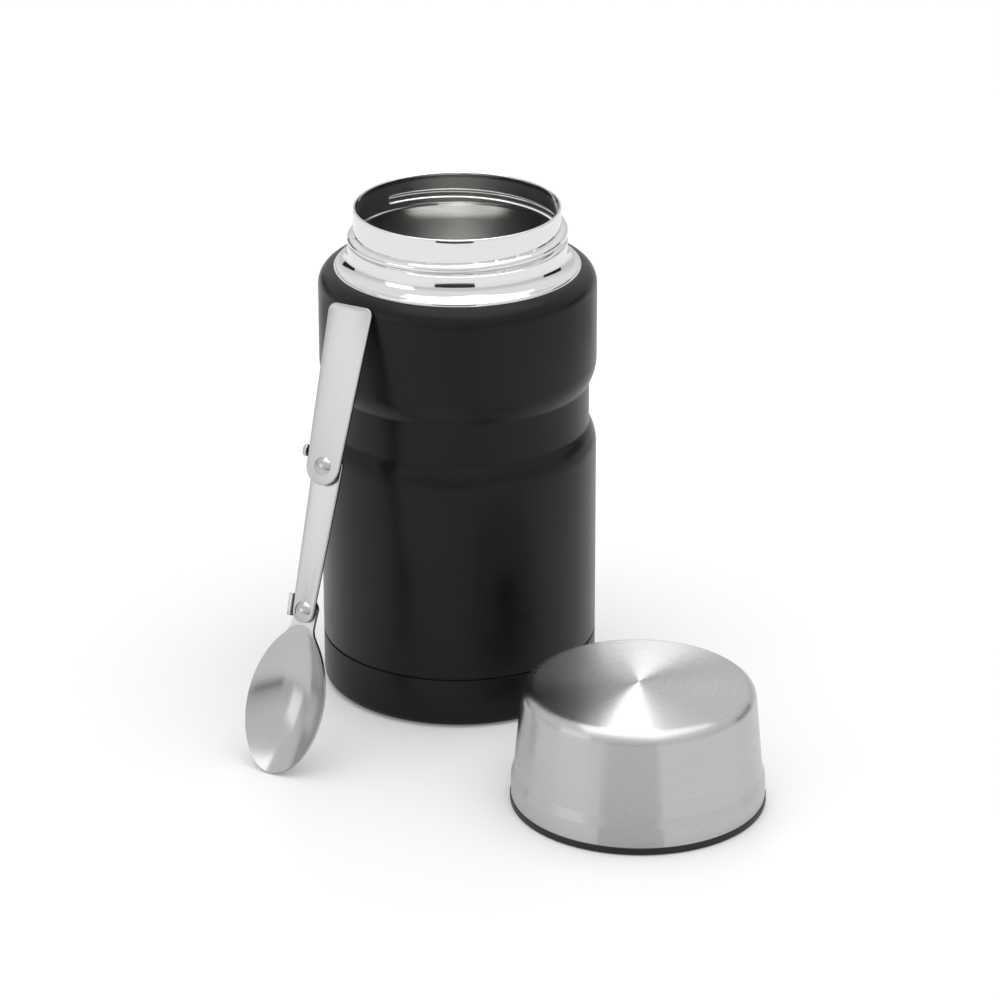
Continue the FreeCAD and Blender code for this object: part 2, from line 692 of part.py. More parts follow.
def make_washer(pivot, z0, z1):
    ring = tube(SHANK_R + SHANK_FIT, WASHER_R, z0, z1)
    ring.translate(pivot)
    return ring


def jar_parts():
    return {
        "jar_outer_shell": make_outer_shell(),
        "jar_base_cup": make_base_cup(),
        "jar_end_plate": make_end_plate(),
        "jar_evacuation_seal": make_evacuation_seal(),
        "jar_inner_vessel": make_inner_vessel(),
        "jar_vessel_bottom": make_vessel_bottom(),
        "jar_neck_collar": make_neck_collar(),
        "jar_radiation_foil": make_foil(),
        "jar_getter": make_getter(),
    }


def lid_parts():
    parts = {
        "lid_shell": make_lid_shell(),
        "lid_liner": make_lid_liner(),
        "lid_gasket": make_lid_gasket(),
        "lid_insulation": make_lid_insulation(),
    }
    for shape in parts.values():
        shape.translate(LID_AT)
    return parts


def spoon_parts():
    tip_to_pivot = V(0, -BOWL_LENGTH, 0)
    bowl = make_bowl()
    bowl.translate(tip_to_pivot)
    low, top = joint_low(), joint_top()
    parts = {
        "spoon_bowl": at_joint(bowl, low, BOWL_ANGLE),
        "spoon_link": at_joint(make_link(), low, LINK_ANGLE),
        "spoon_handle": at_joint(make_handle(), top, HANDLE_ANGLE),
        "spoon_rivet_lower": make_rivet(low, -BOWL_T - JOINT_AIR, LINK_FRONT, TAIL_H),
        "spoon_rivet_upper": make_rivet(top, LINK_BACK, HANDLE_FRONT + JOINT_AIR, TOP_TAIL_H),
        "spoon_washer_lower": make_washer(low, JOINT_AIR, LINK_BACK),
        "spoon_washer_upper": make_washer(top, LINK_FRONT, HANDLE_BACK - JOINT_AIR),
    }
    frame = spoon_frame(spoon_distance())
    return {name: spoon_place(shape, frame) for name, shape in parts.items()}


def main():
    os.makedirs("parts", exist_ok=True)
    everything = {}
    everything.update(jar_parts())
    everything.update(lid_parts())
    everything.update(spoon_parts())
    for name, shape in everything.items():
        if not shape.isValid() or len(shape.Solids) != 1:
            raise RuntimeError(name + " is not one valid solid")
        shape.Solids[0].exportStep("parts/" + name + ".step")


main()
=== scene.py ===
import logging
import math
from collections.abc import Callable, Iterable, Sequence
from dataclasses import dataclass
from enum import Enum

import bmesh
import bpy
from mathutils import Matrix, Vector


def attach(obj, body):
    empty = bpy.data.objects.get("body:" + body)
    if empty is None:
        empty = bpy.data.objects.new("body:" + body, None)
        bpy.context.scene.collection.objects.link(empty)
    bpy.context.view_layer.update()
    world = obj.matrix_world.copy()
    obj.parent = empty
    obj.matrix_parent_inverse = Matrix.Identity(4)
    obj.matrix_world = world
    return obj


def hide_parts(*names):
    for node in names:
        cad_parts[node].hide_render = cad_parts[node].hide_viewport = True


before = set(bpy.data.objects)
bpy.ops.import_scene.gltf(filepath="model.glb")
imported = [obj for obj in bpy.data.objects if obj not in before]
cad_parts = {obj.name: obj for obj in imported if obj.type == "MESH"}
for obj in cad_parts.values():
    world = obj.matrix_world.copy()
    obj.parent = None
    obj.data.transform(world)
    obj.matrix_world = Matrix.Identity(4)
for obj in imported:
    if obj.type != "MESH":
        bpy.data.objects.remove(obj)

# Lengths are in millimetres and angles in degrees, except where a comment says metres.
MM = 0.001
TINY = 1e-6
FULL_TURN = 360.0
NOISE_ENDS = (0.3, 0.7)
Point = tuple[float, float]
Colour = tuple[float, float, float]
Swell = Callable[[float, float, float, int], float]
Join = tuple[bpy.types.Node, str | int, bpy.types.Node, str | int]
log = logging.getLogger("food_jar")
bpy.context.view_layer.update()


class Body(Enum):
    """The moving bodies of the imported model."""

    JAR = "jar"
    LID = "lid"
    MIDDLE = "spoon_middle"
    GRIP = "spoon_grip"
    SCOOP = "spoon_scoop"


class Grain(Enum):
    """How brush marks are stretched on a piece's own map, by the way they run."""

    ROUND = (1.5, 1100.0, 1.0)
    LENGTHWISE = (2600.0, 14.0, 1.0)


class NodeSheet:
    """A small helper that adds and joins the nodes of one tree."""

    def __init__(self, tree: bpy.types.NodeTree) -> None:
        """Empty the tree.

        Args:
            tree: The node tree of a material, a world or a modifier.
        """
        self.tree = tree
        self.tree.nodes.clear()

    def add(self, kind: str, sockets: dict[str, object] | None = None,
            **values: object) -> bpy.types.Node:
        """Add a node and set it up.

        Args:
            kind: Blender's node type.
            sockets: Plain values of its inputs.
            **values: Properties of the node.

        Returns:
            The new node.
        """
        node = self.tree.nodes.new(kind)
        for key, value in values.items():
            setattr(node, key, value)
        for key, value in (sockets or {}).items():
            node.inputs[key].default_value = value
        return node

    def join(self, *joins: Join) -> None:
        """Link sockets to one another.

        Args:
            *joins: For each link the source, its output, the target and its input.
        """
        for source, out, target, into in joins:
            self.tree.links.new(source.outputs[out], target.inputs[into])


class MaterialSheet(NodeSheet):
    """The nodes of one new material."""

    def __init__(self, name: str) -> None:
        """Start an empty node material.

        Args:
            name: The material's name.
        """
        self.material = bpy.data.materials.new(name)
        self.material.use_nodes = True
        super().__init__(self.material.node_tree)

    def close(self, shader: bpy.types.Node, out: str) -> bpy.types.Material:
        """Send a shader to the material's output.

        Args:
            shader: The last shader node.
            out: Its output socket.

        Returns:
            The material.
        """
        self.join((shader, out, self.add("ShaderNodeOutputMaterial"), "Surface"))
        return self.material


@dataclass(frozen=True)
class Noise:
    """A noise on a piece's own coordinates or on its map."""

    scale: float
    detail: float = 2.0
    coordinates: str = "Object"
    stretch: tuple[float, float, float] = (1.0, 1.0, 1.0)

    def add_to(self, sheet: NodeSheet) -> bpy.types.Node:
        """Add the noise to a material.

        Args:
            sheet: The material's nodes.

        Returns:
            The noise node.
        """
        place = sheet.add("ShaderNodeTexCoord")
        mapping = sheet.add("ShaderNodeMapping", {"Scale": self.stretch})
        noise = sheet.add("ShaderNodeTexNoise", {"Scale": self.scale, "Detail": self.detail})
        sheet.join((place, self.coordinates, mapping, "Vector"),
                   (mapping, "Vector", noise, "Vector"))
        return noise


@dataclass(frozen=True)
class Finish:
    """A surface whose colour and roughness vary a little, with fine relief if it has any.

    The three noises are those of its colour, its roughness and its relief.
    """

    name: str
    tint: Colour
    roughness: float
    spread: float
    shades: tuple[float, float]
    relief: float
    strength: float
    noises: tuple[Noise, Noise, Noise]
    sockets: tuple[tuple[str, float], ...]
    brushed: bool = False

    def build(self) -> bpy.types.Material:
        """Make the material."""
        sheet = MaterialSheet(self.name)
        nodes = {noise: noise.add_to(sheet) for noise in dict.fromkeys(self.noises)}
        colour, rough, relief = (nodes[noise] for noise in self.noises)
        ramp = sheet.add("ShaderNodeValToRGB")
        for element, place, factor in zip(ramp.color_ramp.elements, NOISE_ENDS, self.shades):
            element.position = place
            element.color = (*(min(1.0, c * factor) for c in self.tint), 1.0)
        spread = sheet.add("ShaderNodeMapRange", {
            "From Min": NOISE_ENDS[0], "From Max": NOISE_ENDS[1],
            "To Min": self.roughness - self.spread, "To Max": self.roughness + self.spread})
        shader = sheet.add("ShaderNodeBsdfPrincipled", dict(self.sockets))
        sheet.join((colour, 0, ramp, "Fac"), (rough, 0, spread, "Value"),
                   (ramp, "Color", shader, "Base Color"), (spread, "Result", shader, "Roughness"))
        if self.relief > 0.0:
            bump = sheet.add("ShaderNodeBump", {
                "Distance": self.relief * MM, "Strength": self.strength})
            sheet.join((relief, 0, bump, "Height"), (bump, "Normal", shader, "Normal"))
        if self.brushed:
            tangent = sheet.add("ShaderNodeTangent", direction_type="UV_MAP")
            sheet.join((tangent, "Tangent", shader, "Tangent"))
        return sheet.close(shader, "BSDF")


def steel(name: str, tint: Colour, roughness: float, spread: float, anisotropy: float,
          marks: float, relief: float, grain: Grain = Grain.ROUND) -> Finish:
    """Stainless steel, from mirror polish to coarse brush marks.

    Args:
        name: The material's name.
        tint: Its colour.
        roughness: Its roughness.
        spread: How far the roughness varies.
        anisotropy: How far highlights are drawn out across the marks.
        marks: How far the marks vary the colour.
        relief: Depth of the marks.
        grain: The way the marks run.

    Returns:
        The finish.
    """
    brush = Noise(1.0, 2.0, "UV", grain.value)
    sockets = (("Metallic", 1.0), ("Anisotropic", anisotropy), ("Anisotropic Rotation", 0.25))
    return Finish(name, tint, roughness, spread, (1.0 - marks, 1.0 + marks), relief, strength=0.2,
                  noises=(brush, Noise(scale=55.0), brush), sockets=sockets, brushed=True)


def moulded(name: str, tint: Colour, roughness: float, scale: float = 900.0,
            relief: float = 0.02, softness: float = 0.0) -> Finish:
    """Moulded plastic, rubber, foam or fused glass, by its gloss and grain.

    Args:
        name: The material's name.
        tint: Its colour.
        roughness: Its roughness.
        scale: How fine its grain is.
        relief: Depth of the grain.
        softness: How much light goes through its skin.

    Returns:
        The finish.
    """
    grain = Noise(scale, 3.0)
    sockets = (("Subsurface Weight", softness), ("Subsurface Scale", 2.0 * MM))
    return Finish(name, tint, roughness, spread=0.04, shades=(0.9, 1.1), relief=relief,
                  strength=0.3, noises=(grain, grain, grain), sockets=sockets)


class Look(Enum):
    """Every finish on the object."""

    COAT = Finish("black_powder_coat", (0.006, 0.006, 0.006), roughness=0.3, spread=0.03,
                  shades=(0.85, 1.2), relief=0.012, strength=0.25,
                  noises=(Noise(38.0, 3.0), Noise(38.0, 3.0), Noise(1900.0)),
                  sockets=(("Specular IOR Level", 0.22),))
    NECK = steel("polished_neck", (0.84, 0.835, 0.83), 0.07, 0.02, 0.2, 0.02, 0.0004)
    # The satin inside steel is tinted brighter than the neck's steel; the brighter tint is painted
    # light for the light that bounces down into the jar.
    INSIDE = steel("satin_inside_painted_bright", (0.93, 0.925, 0.915), 0.2, 0.02, 0.2, 0.02, 0.0)
    LID = steel("spun_lid", (0.575, 0.573, 0.568), 0.27, 0.01, 0.93, 0.035, 0.0)
    SPOON = steel("satin_spoon", (0.53, 0.53, 0.527), 0.2, 0.01, 0.2, 0.02, 0.0006,
                  Grain.LENGTHWISE)
    SHEET = steel("plain_sheet", (0.58, 0.58, 0.57), 0.34, 0.05, 0.2, 0.05, 0.004)
    FOIL = steel("bright_foil", (0.86, 0.86, 0.86), 0.2, 0.08, 0.0, 0.03, 0.02)
    LINER = moulded("black_liner", (0.005, 0.005, 0.005), 0.42)
    GASKET = moulded("silicone_ring", (0.62, 0.62, 0.6), 0.5, 600.0, 0.01, 0.2)
    FOAM = moulded("insulating_foam", (0.78, 0.77, 0.72), 0.9, 500.0, 0.15)
    SOLDER = moulded("solder_glass", (0.28, 0.24, 0.18), 0.15, 300.0, 0.01)


Finishes = dict[Look, bpy.types.Material]


def arc(cr: float, cz: float, radius: float, start: float, end: float,
        steps: int = 10) -> list[Point]:
    """Points along a round stretch of a profile.

    Args:
        cr: Centre, from the axis.
        cz: Centre, up.
        radius: Its radius.
        start: First angle.
        end: Last angle.
        steps: Number of chords.

    Returns:
        The points, both ends included.
    """
    turns = [math.radians(start + (end - start) * i / steps) for i in range(steps + 1)]
    return [(cr + radius * math.cos(t), cz + radius * math.sin(t)) for t in turns]


def oblong(x0: float, x1: float, y0: float, y1: float) -> list[Point]:
    """Corners of an upright rectangle.

    Args:
        x0: Left side.
        x1: Right side.
        y0: Lower side.
        y1: Upper side.

    Returns:
        The corners, anticlockwise.
    """
    return [(x0, y0), (x1, y0), (x1, y1), (x0, y1)]


def finish_mesh(mesh: bpy.types.Mesh, crease: float, outward: bool = True) -> None:
    """Turn faces outwards and shade them smooth between sharp edges.

    Args:
        mesh: The mesh to finish.
        crease: Angle past which an edge stays sharp.
        outward: Whether normals are worked out again.
    """
    if outward:
        bm = bmesh.new()
        bm.from_mesh(mesh)
        bmesh.ops.recalc_face_normals(bm, faces=bm.faces)
        bm.to_mesh(mesh)
        bm.free()
    mesh.shade_smooth()
    mesh.set_sharp_from_angle(angle=math.radians(crease))


def lathe(name: str, profile: Sequence[Point], centre: Point = (0.0, 0.0), segments: int = 256,
          crease: float = 30.0, swell: Swell | None = None) -> bpy.types.Object:
    """Spin a closed profile round a vertical axis, with a map of turn and length.

    Args:
        name: Name of the piece.
        profile: Closed run of (radius, height) points.
        centre: Place of the axis.
        segments: Number of steps round.
        crease: Angle past which an edge stays sharp.
        swell: Optional rule that gives the radius at (radius, height, angle, point index).

    Returns:
        The piece, linked to the scene.
    """
    bm = bmesh.new()
    uv = bm.loops.layers.uv.new("map")
    rows = []
    lengths = [0.0]
    for i, (r, z) in enumerate(profile):
        after = profile[(i + 1) % len(profile)]
        lengths.append(lengths[-1] + math.dist((r, z), after) * MM)
        if r < TINY:
            rows.append([bm.verts.new((centre[0] * MM, centre[1] * MM, z * MM))])
            continue
        ring = []
        for j in range(segments):
            turn = math.tau * j / segments
            size = swell(r, z, math.degrees(turn), i) if swell else r
            x, y = centre[0] + size * math.cos(turn), centre[1] + size * math.sin(turn)
            ring.append(bm.verts.new((x * MM, y * MM, z * MM)))
        rows.append(ring)
    for i, low in enumerate(rows):
        high = rows[(i + 1) % len(rows)]
        if len(low) == 1 and len(high) == 1:
            continue
        for j in range(segments):
            k = (j + 1) % segments
            corners = [(low[j % len(low)], j, 0), (low[k % len(low)], j + 1, 0),
                       (high[k % len(high)], j + 1, 1), (high[j % len(high)], j, 1)]
            if len(low) == 1:
                corners.pop(1)
            elif len(high) == 1:
                corners.pop(2)
            face = bm.faces.new([c[0] for c in corners])
            for loop, (_, step, side) in zip(face.loops, corners):
                loop[uv].uv = (step / segments, lengths[i + side])
    mesh = bpy.data.meshes.new(name)
    bm.to_mesh(mesh)
    bm.free()
    finish_mesh(mesh, crease)
    return link(name, mesh)


def link(name: str, data: bpy.types.ID) -> bpy.types.Object:
    """Put a mesh, lamp or camera in the scene as an object at the origin.

    Args:
        name: Name of the object.
        data: Its data.

    Returns:
        The object.
    """
    piece = bpy.data.objects.new(name, data)
    bpy.context.scene.collection.objects.link(piece)
    return piece


def paint_faces(piece: bpy.types.Object, materials: Sequence[bpy.types.Material],
                second: Callable[[bpy.types.MeshPolygon], bool]) -> bpy.types.Object:
    """Give a piece two finishes.

    Args:
        piece: The piece.
        materials: Its two finishes.
        second: Rule that says which faces take the second one.

    Returns:
        The piece.
    """
    for material in materials:
        piece.data.materials.append(material)
    for face in piece.data.polygons:
        face.material_index = int(second(face))
    return piece


def dress(piece: bpy.types.Object, finish: bpy.types.Material, body: Body,
          nodes: Iterable[str] = ()) -> None:
    """Give a piece its finish, its body and the CAD nodes that it stands for.

    Args:
        piece: The piece.
        finish: Its material, if it has none yet.
        body: The body that it rides on.
        nodes: CAD nodes that it replaces.
    """
    if not piece.data.materials:
        piece.data.materials.append(finish)
    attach(piece, body.value)
    named = list(nodes)
    if named:
        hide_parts(*named)
    log.info("%s: %d faces on %s", piece.name, len(piece.data.polygons), body.value)


def dress_node(node: str, finish: bpy.types.Material) -> None:
    """Give a CAD node that stays its finish.

    Args:
        node: Name of the CAD node.
        finish: Its material.
    """
    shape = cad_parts[node]
    shape.data.materials.clear()
    shape.data.materials.append(finish)
    log.info("%s keeps its solid, in %s", node, finish.name)


class GeometrySheet(NodeSheet):
    """A Geometry Nodes tree that is run once and kept as a plain mesh."""

    def __init__(self, name: str, values: dict[str, tuple[str, object]]) -> None:
        """Start the tree with its inputs.

        Args:
            name: Name of the tree and of its mesh.
            values: Socket type and value of each input; the mesh's own has no value.
        """
        super().__init__(bpy.data.node_groups.new(name, "GeometryNodeTree"))
        self.name = name
        self.values = values
        sockets = [(key, "INPUT", kind) for key, (kind, _) in values.items()]
        for key, side, kind in sockets + [("Geometry", "OUTPUT", "Geometry")]:
            self.tree.interface.new_socket(key, in_out=side, socket_type="NodeSocket" + kind)
        self.given = self.add("NodeGroupInput")

    def bake(self, last: bpy.types.Node, start: bpy.types.Mesh | None = None) -> bpy.types.Mesh:
        """Paint the result, run the tree and keep its mesh.

        Args:
            last: Node whose first output is the result.
            start: Mesh that the tree starts from, if it needs one.

        Returns:
            The baked mesh.
        """
        real = self.add("GeometryNodeRealizeInstances")
        paint = self.add("GeometryNodeSetMaterial")
        out = self.add("NodeGroupOutput")
        self.join((last, 0, real, "Geometry"), (real, "Geometry", paint, "Geometry"),
                  (self.given, "Finish", paint, "Material"), (paint, "Geometry", out, "Geometry"))
        holder = link(self.name + "_holder", start or bpy.data.meshes.new(self.name + "_start"))
        modifier = holder.modifiers.new("rule", "NODES")
        modifier.node_group = self.tree
        for item in self.tree.interface.items_tree:
            if item.in_out == "INPUT" and self.values[item.name][1] is not None:
                modifier[item.identifier] = self.values[item.name][1]
        graph = bpy.context.evaluated_depsgraph_get()
        mesh = bpy.data.meshes.new_from_object(holder.evaluated_get(graph))
        mesh.name = self.name
        bpy.data.objects.remove(holder)
        return mesh


@dataclass
class Jar:
    """The double-walled jar: coated drum, base cup, bare neck and collar."""

    finishes: Finishes
    body_r: float = 50.0
    sheet: float = 0.6
    shoulder_round: float = 7.0
    shoulder_z: float = 153.2
    lip_r: float = 43.7
    # Width and lowest height of the coat's rounded lip edge, painted as a polished steel highlight.
    painted_highlight_width: float = 0.3
    painted_highlight_from: float = 155.0
    waist_r: float = 47.35
    waist_top: float = 116.2
    waist_low: float = 101.3
    convex: float = 16.0
    concave: float = 2.0
    seam_z: float = 18.6
    seam_gap: float = 0.8
    seam_round: float = 0.18
    joggle_low: float = 6.4
    corner_r: float = 3.6
    base_rings: tuple[float, ...] = (0.0, 20.0, 40.0)
    neck_r: float = 37.14
    neck_t: float = 0.8
    rim_z: float = 182.16
    plain_z: float = 180.2
    step_top: float = 171.0
    step_low: float = 169.4
    step_run: Point = (1.66, 1.6)
    step_rows: int = 6
    inner_drop: float = 0.3
    thread_rows: int = 42
    bead_band: float = 7.6
    groove_band: float = 7.9
    foot_r: float = 38.8
    foot_low: float = 163.6
    vessel_r: float = 42.0
    wall_rings: tuple[float, ...] = (24.0, 60.0, 110.0, 154.0)
    floor_z: float = 12.0
    floor_flat: float = 12.0
    floor_round: float = 12.0
    pitch: float = 5.2
    bead_start: float = 100.0
    bead_end: float = 490.0
    bead_z: float = 170.3
    bead_z_at: float = 180.0
    bead_r: float = 1.8
    bead_centre: float = 37.75
    bead_fade: float = 2.6
    bead_margin: float = 3.0
    groove_fade: float = 2.0
    groove_half: float = 1.75
    groove_depth: float = 2.1
    groove_r: float = 38.6
    groove_top: float = 179.0
    neck_segments: int = 360
    collar_edge: float = 0.2
    collar_low: float = 165.4
    collar_flare: tuple[Point, ...] = (
        (39.62, 164.3), (40.02, 163.35), (40.55, 162.55), (41.2, 161.8), (41.8, 161.3),
        (42.4, 161.0))
    collar_lip: tuple[float, float, float] = (43.3, 160.5, 0.4)
    collar_under: tuple[Point, ...] = (
        (43.7, 158.6), (43.1, 158.6), (43.1, 160.3), (42.4, 160.3), (41.0, 161.1), (40.0, 162.2),
        (39.2, 163.7))
    collar_inner_low: float = 165.0

    def contour(self, inset: float) -> list[Point]:
        """The drum's outside from its lip to the waist's lower curve.

        Args:
            inset: How far inside the outer face.

        Returns:
            Points from the top down.
        """
        both, body = self.convex + self.concave, self.body_r
        turn = math.degrees(math.acos(1.0 - (body - self.waist_r) / both))
        rise = both * math.sin(math.radians(turn))
        round_r = self.shoulder_round - inset
        centre = body - self.shoulder_round
        lip = math.degrees(math.acos((self.lip_r - centre) / round_r))
        outer, inner = body - self.convex, self.waist_r + self.concave
        convex, concave = self.convex - inset, self.concave + inset
        top, low = self.waist_top + rise, self.waist_low - rise
        points = arc(centre, self.shoulder_z, round_r, lip, 0, 18)
        points += arc(outer, top, convex, 0, -turn, 12)
        points += arc(inner, self.waist_top, concave, 180 - turn, 180, 6)
        points += arc(inner, self.waist_low, concave, 180, 180 + turn, 6)
        points += arc(outer, low, convex, turn, 0, 12)
        return points

    def drum(self) -> bpy.types.Object:
        """Build the coated drum, its joggle into the base cup and a painted highlight at its lip.
        """
        soft = self.seam_round
        seam = self.seam_z + self.seam_gap
        inner = self.body_r - self.sheet
        points = self.contour(0.0)
        points += arc(self.body_r - soft, seam + soft, soft, 0, -90, 3)
        points += [(inner, seam), (inner, self.joggle_low), (inner - self.sheet, self.joggle_low)]
        points += [(inner - self.sheet, seam + self.sheet), (inner, seam + self.sheet)]
        points += list(reversed(self.contour(self.sheet)))
        # The coat's rounded edge at the lip takes polished steel: a painted highlight, the bright
        # line round the coat's rim.
        painted_highlight_r = (self.lip_r + self.painted_highlight_width) * MM
        steels = (self.finishes[Look.COAT], self.finishes[Look.NECK])
        return paint_faces(lathe("coated_drum", points), steels, lambda face: (
            math.hypot(face.center.x, face.center.y) < painted_highlight_r
            and face.center.z > self.painted_highlight_from * MM))

    def cup(self) -> bpy.types.Object:
        """Build the coated cup that closes the bottom."""
        soft = self.seam_round
        centre = self.body_r - self.corner_r
        points = [(r, 0.0) for r in self.base_rings]
        points += arc(centre, self.corner_r, self.corner_r, -90, 0, 10)
        points += arc(self.body_r - soft, self.seam_z - soft, soft, 0, 90, 3)
        points += [(self.body_r - self.sheet, self.seam_z)]
        points += arc(centre, self.corner_r, self.corner_r - self.sheet, 0, -90, 8)
        points += [(0.0, self.sheet)]
        return lathe("base_cup", points)

    def bead_height(self, angle: float, z: float, reach: float) -> tuple[float, float]:
        """Distance above the nearest turn of the rolled thread, and its strength.

        Args:
            angle: Angle round the neck.
            z: Height.
            reach: Length over which the thread's ends fade.

        Returns:
            Height above the turn and a factor from 0 to 1.
        """
        best = (math.inf, 0.0)
        for lap in (0, FULL_TURN):
            turn = angle + lap
            z0 = self.bead_z + (turn - self.bead_z_at) / FULL_TURN * self.pitch
            nearest = min(turn - self.bead_start, self.bead_end - turn)
            along = math.radians(nearest) * self.bead_centre
            strength = max(0.0, min(1.0, (along + reach) / reach))
            if strength > 0.0 and abs(z - z0) < abs(best[0]):
                best = (z - z0, strength * strength * (3.0 - 2.0 * strength))
        return best

    def bead_radius(self, r: float, z: float, angle: float) -> float:
        """Radius of the neck's outside, with the rolled bead.

        Args:
            r: Plain radius.
            z: Height.
            angle: Angle round the neck.

        Returns:
            The radius.
        """
        if z <= self.step_low + TINY or z > self.rim_z - self.bead_margin:
            return r
        off, strength = self.bead_height(angle, z, self.bead_fade)
        if abs(off) >= self.bead_r or strength <= 0.0:
            return r
        crown = self.bead_centre + math.sqrt(self.bead_r ** 2 - off ** 2)
        return max(r, self.neck_r + (crown - self.neck_r) * strength)

    def groove_radius(self, r: float, z: float, angle: float) -> float:
        """Radius of the neck's inside, with the groove behind the bead.

        Args:
            r: Plain radius.
            z: Height.
            angle: Angle round the neck.

        Returns:
            The radius.
        """
        if not self.step_low < z < self.groove_top:
            return r
        off, strength = self.bead_height(angle, z, self.groove_fade)
        if abs(off) >= self.groove_half or strength <= 0.0:
            return r
        fall = 1.0 - abs(off) / self.groove_half
        depth = self.groove_depth * fall * fall * (3.0 - 2.0 * fall) * strength
        return max(r, min(self.neck_r - self.neck_t + depth, self.groove_r))

    def neck(self) -> bpy.types.Object:
        """Build neck and inner wall in one sheet, with the rolled thread."""
        half = 0.5 * self.neck_t
        bore = self.neck_r - self.neck_t
        inner_foot = self.foot_r - self.neck_t
        wall = self.vessel_r - self.sheet
        slope = [i / self.step_rows for i in range(1, self.step_rows)]
        rows = self.thread_rows
        run, rise = self.step_run
        points = [(self.vessel_r, z) for z in self.wall_rings]
        points += [(self.foot_r, self.foot_low), (self.foot_r, self.step_low)]
        points += [(self.foot_r - run * t, self.step_low + rise * t) for t in slope]
        points += [(self.neck_r, self.step_top + self.bead_band * i / rows)
                   for i in range(rows + 1)]
        points += [(self.neck_r, self.plain_z)]
        points += arc(self.neck_r - half, self.rim_z - half, half, 0, 180, 8)
        outside = len(points)
        points += [(bore, self.plain_z)]
        low = self.step_top - self.inner_drop
        points += [(bore, low + self.groove_band * i / rows) for i in range(rows, -1, -1)]
        points += [(bore + run * t, low - rise * t) for t in slope]
        points += [(inner_foot, self.step_low - self.inner_drop), (inner_foot, self.foot_low)]
        points += [(wall, z) for z in reversed(self.wall_rings)]

        def swell(r: float, z: float, angle: float, index: int) -> float:
            """Pick the rule for the outside or the inside of the sheet."""
            rule = self.bead_radius if index < outside else self.groove_radius
            return rule(r, z, angle)

        piece = lathe("neck_and_wall", points, segments=self.neck_segments, crease=50.0,
                      swell=swell)
        # Inner faces and the vessel wall take the satin inside steel, whose brighter tint is
        # painted light.
        steels = (self.finishes[Look.NECK], self.finishes[Look.INSIDE])
        return paint_faces(piece, steels, lambda face: (
            face.index >= outside * self.neck_segments or face.center.z < self.foot_low * MM))

    def floor(self) -> bpy.types.Object:
        """Build the dished floor of the food space."""
        centre = (self.vessel_r - self.floor_round, self.floor_z + self.floor_round)
        points = [(0.0, self.floor_z), (self.floor_flat, self.floor_z)]
        points += arc(*centre, self.floor_round, -90, 0, 16)
        points += arc(*centre, self.floor_round - self.sheet, 0, -90, 16)
        points += [(self.floor_flat, self.floor_z + self.sheet), (0.0, self.floor_z + self.sheet)]
        return lathe("vessel_floor", points, segments=192, crease=50.0)

    def collar(self) -> bpy.types.Object:
        """Build the bare flared ring between neck and drum."""
        sleeve, edge = self.foot_r + self.sheet, self.collar_edge
        points = [(self.foot_r, self.step_low), (sleeve - edge, self.step_low)]
        points += [(sleeve, self.step_low - edge), (sleeve, self.collar_low)]
        points += [*self.collar_flare, *arc(*self.collar_lip, 90, 0, 5), *self.collar_under]
        points += [(self.foot_r, self.collar_inner_low)]
        return lathe("neck_collar", points, crease=24.0)

    def build(self) -> None:
        """Make and dress every piece of the jar."""
        f = self.finishes
        dress(self.drum(), f[Look.COAT], Body.JAR, ["jar_outer_shell"])
        dress(self.cup(), f[Look.COAT], Body.JAR, ["jar_base_cup"])
        dress(self.neck(), f[Look.NECK], Body.JAR, ["jar_inner_vessel"])
        # The vessel floor takes the satin inside steel, whose brighter tint is painted light.
        dress(self.floor(), f[Look.INSIDE], Body.JAR, ["jar_vessel_bottom"])
        dress(self.collar(), f[Look.NECK], Body.JAR, ["jar_neck_collar"])
        dress_node("jar_end_plate", f[Look.SHEET])
        dress_node("jar_getter", f[Look.SHEET])
        dress_node("jar_evacuation_seal", f[Look.SOLDER])
        dress_node("jar_radiation_foil", f[Look.FOIL])


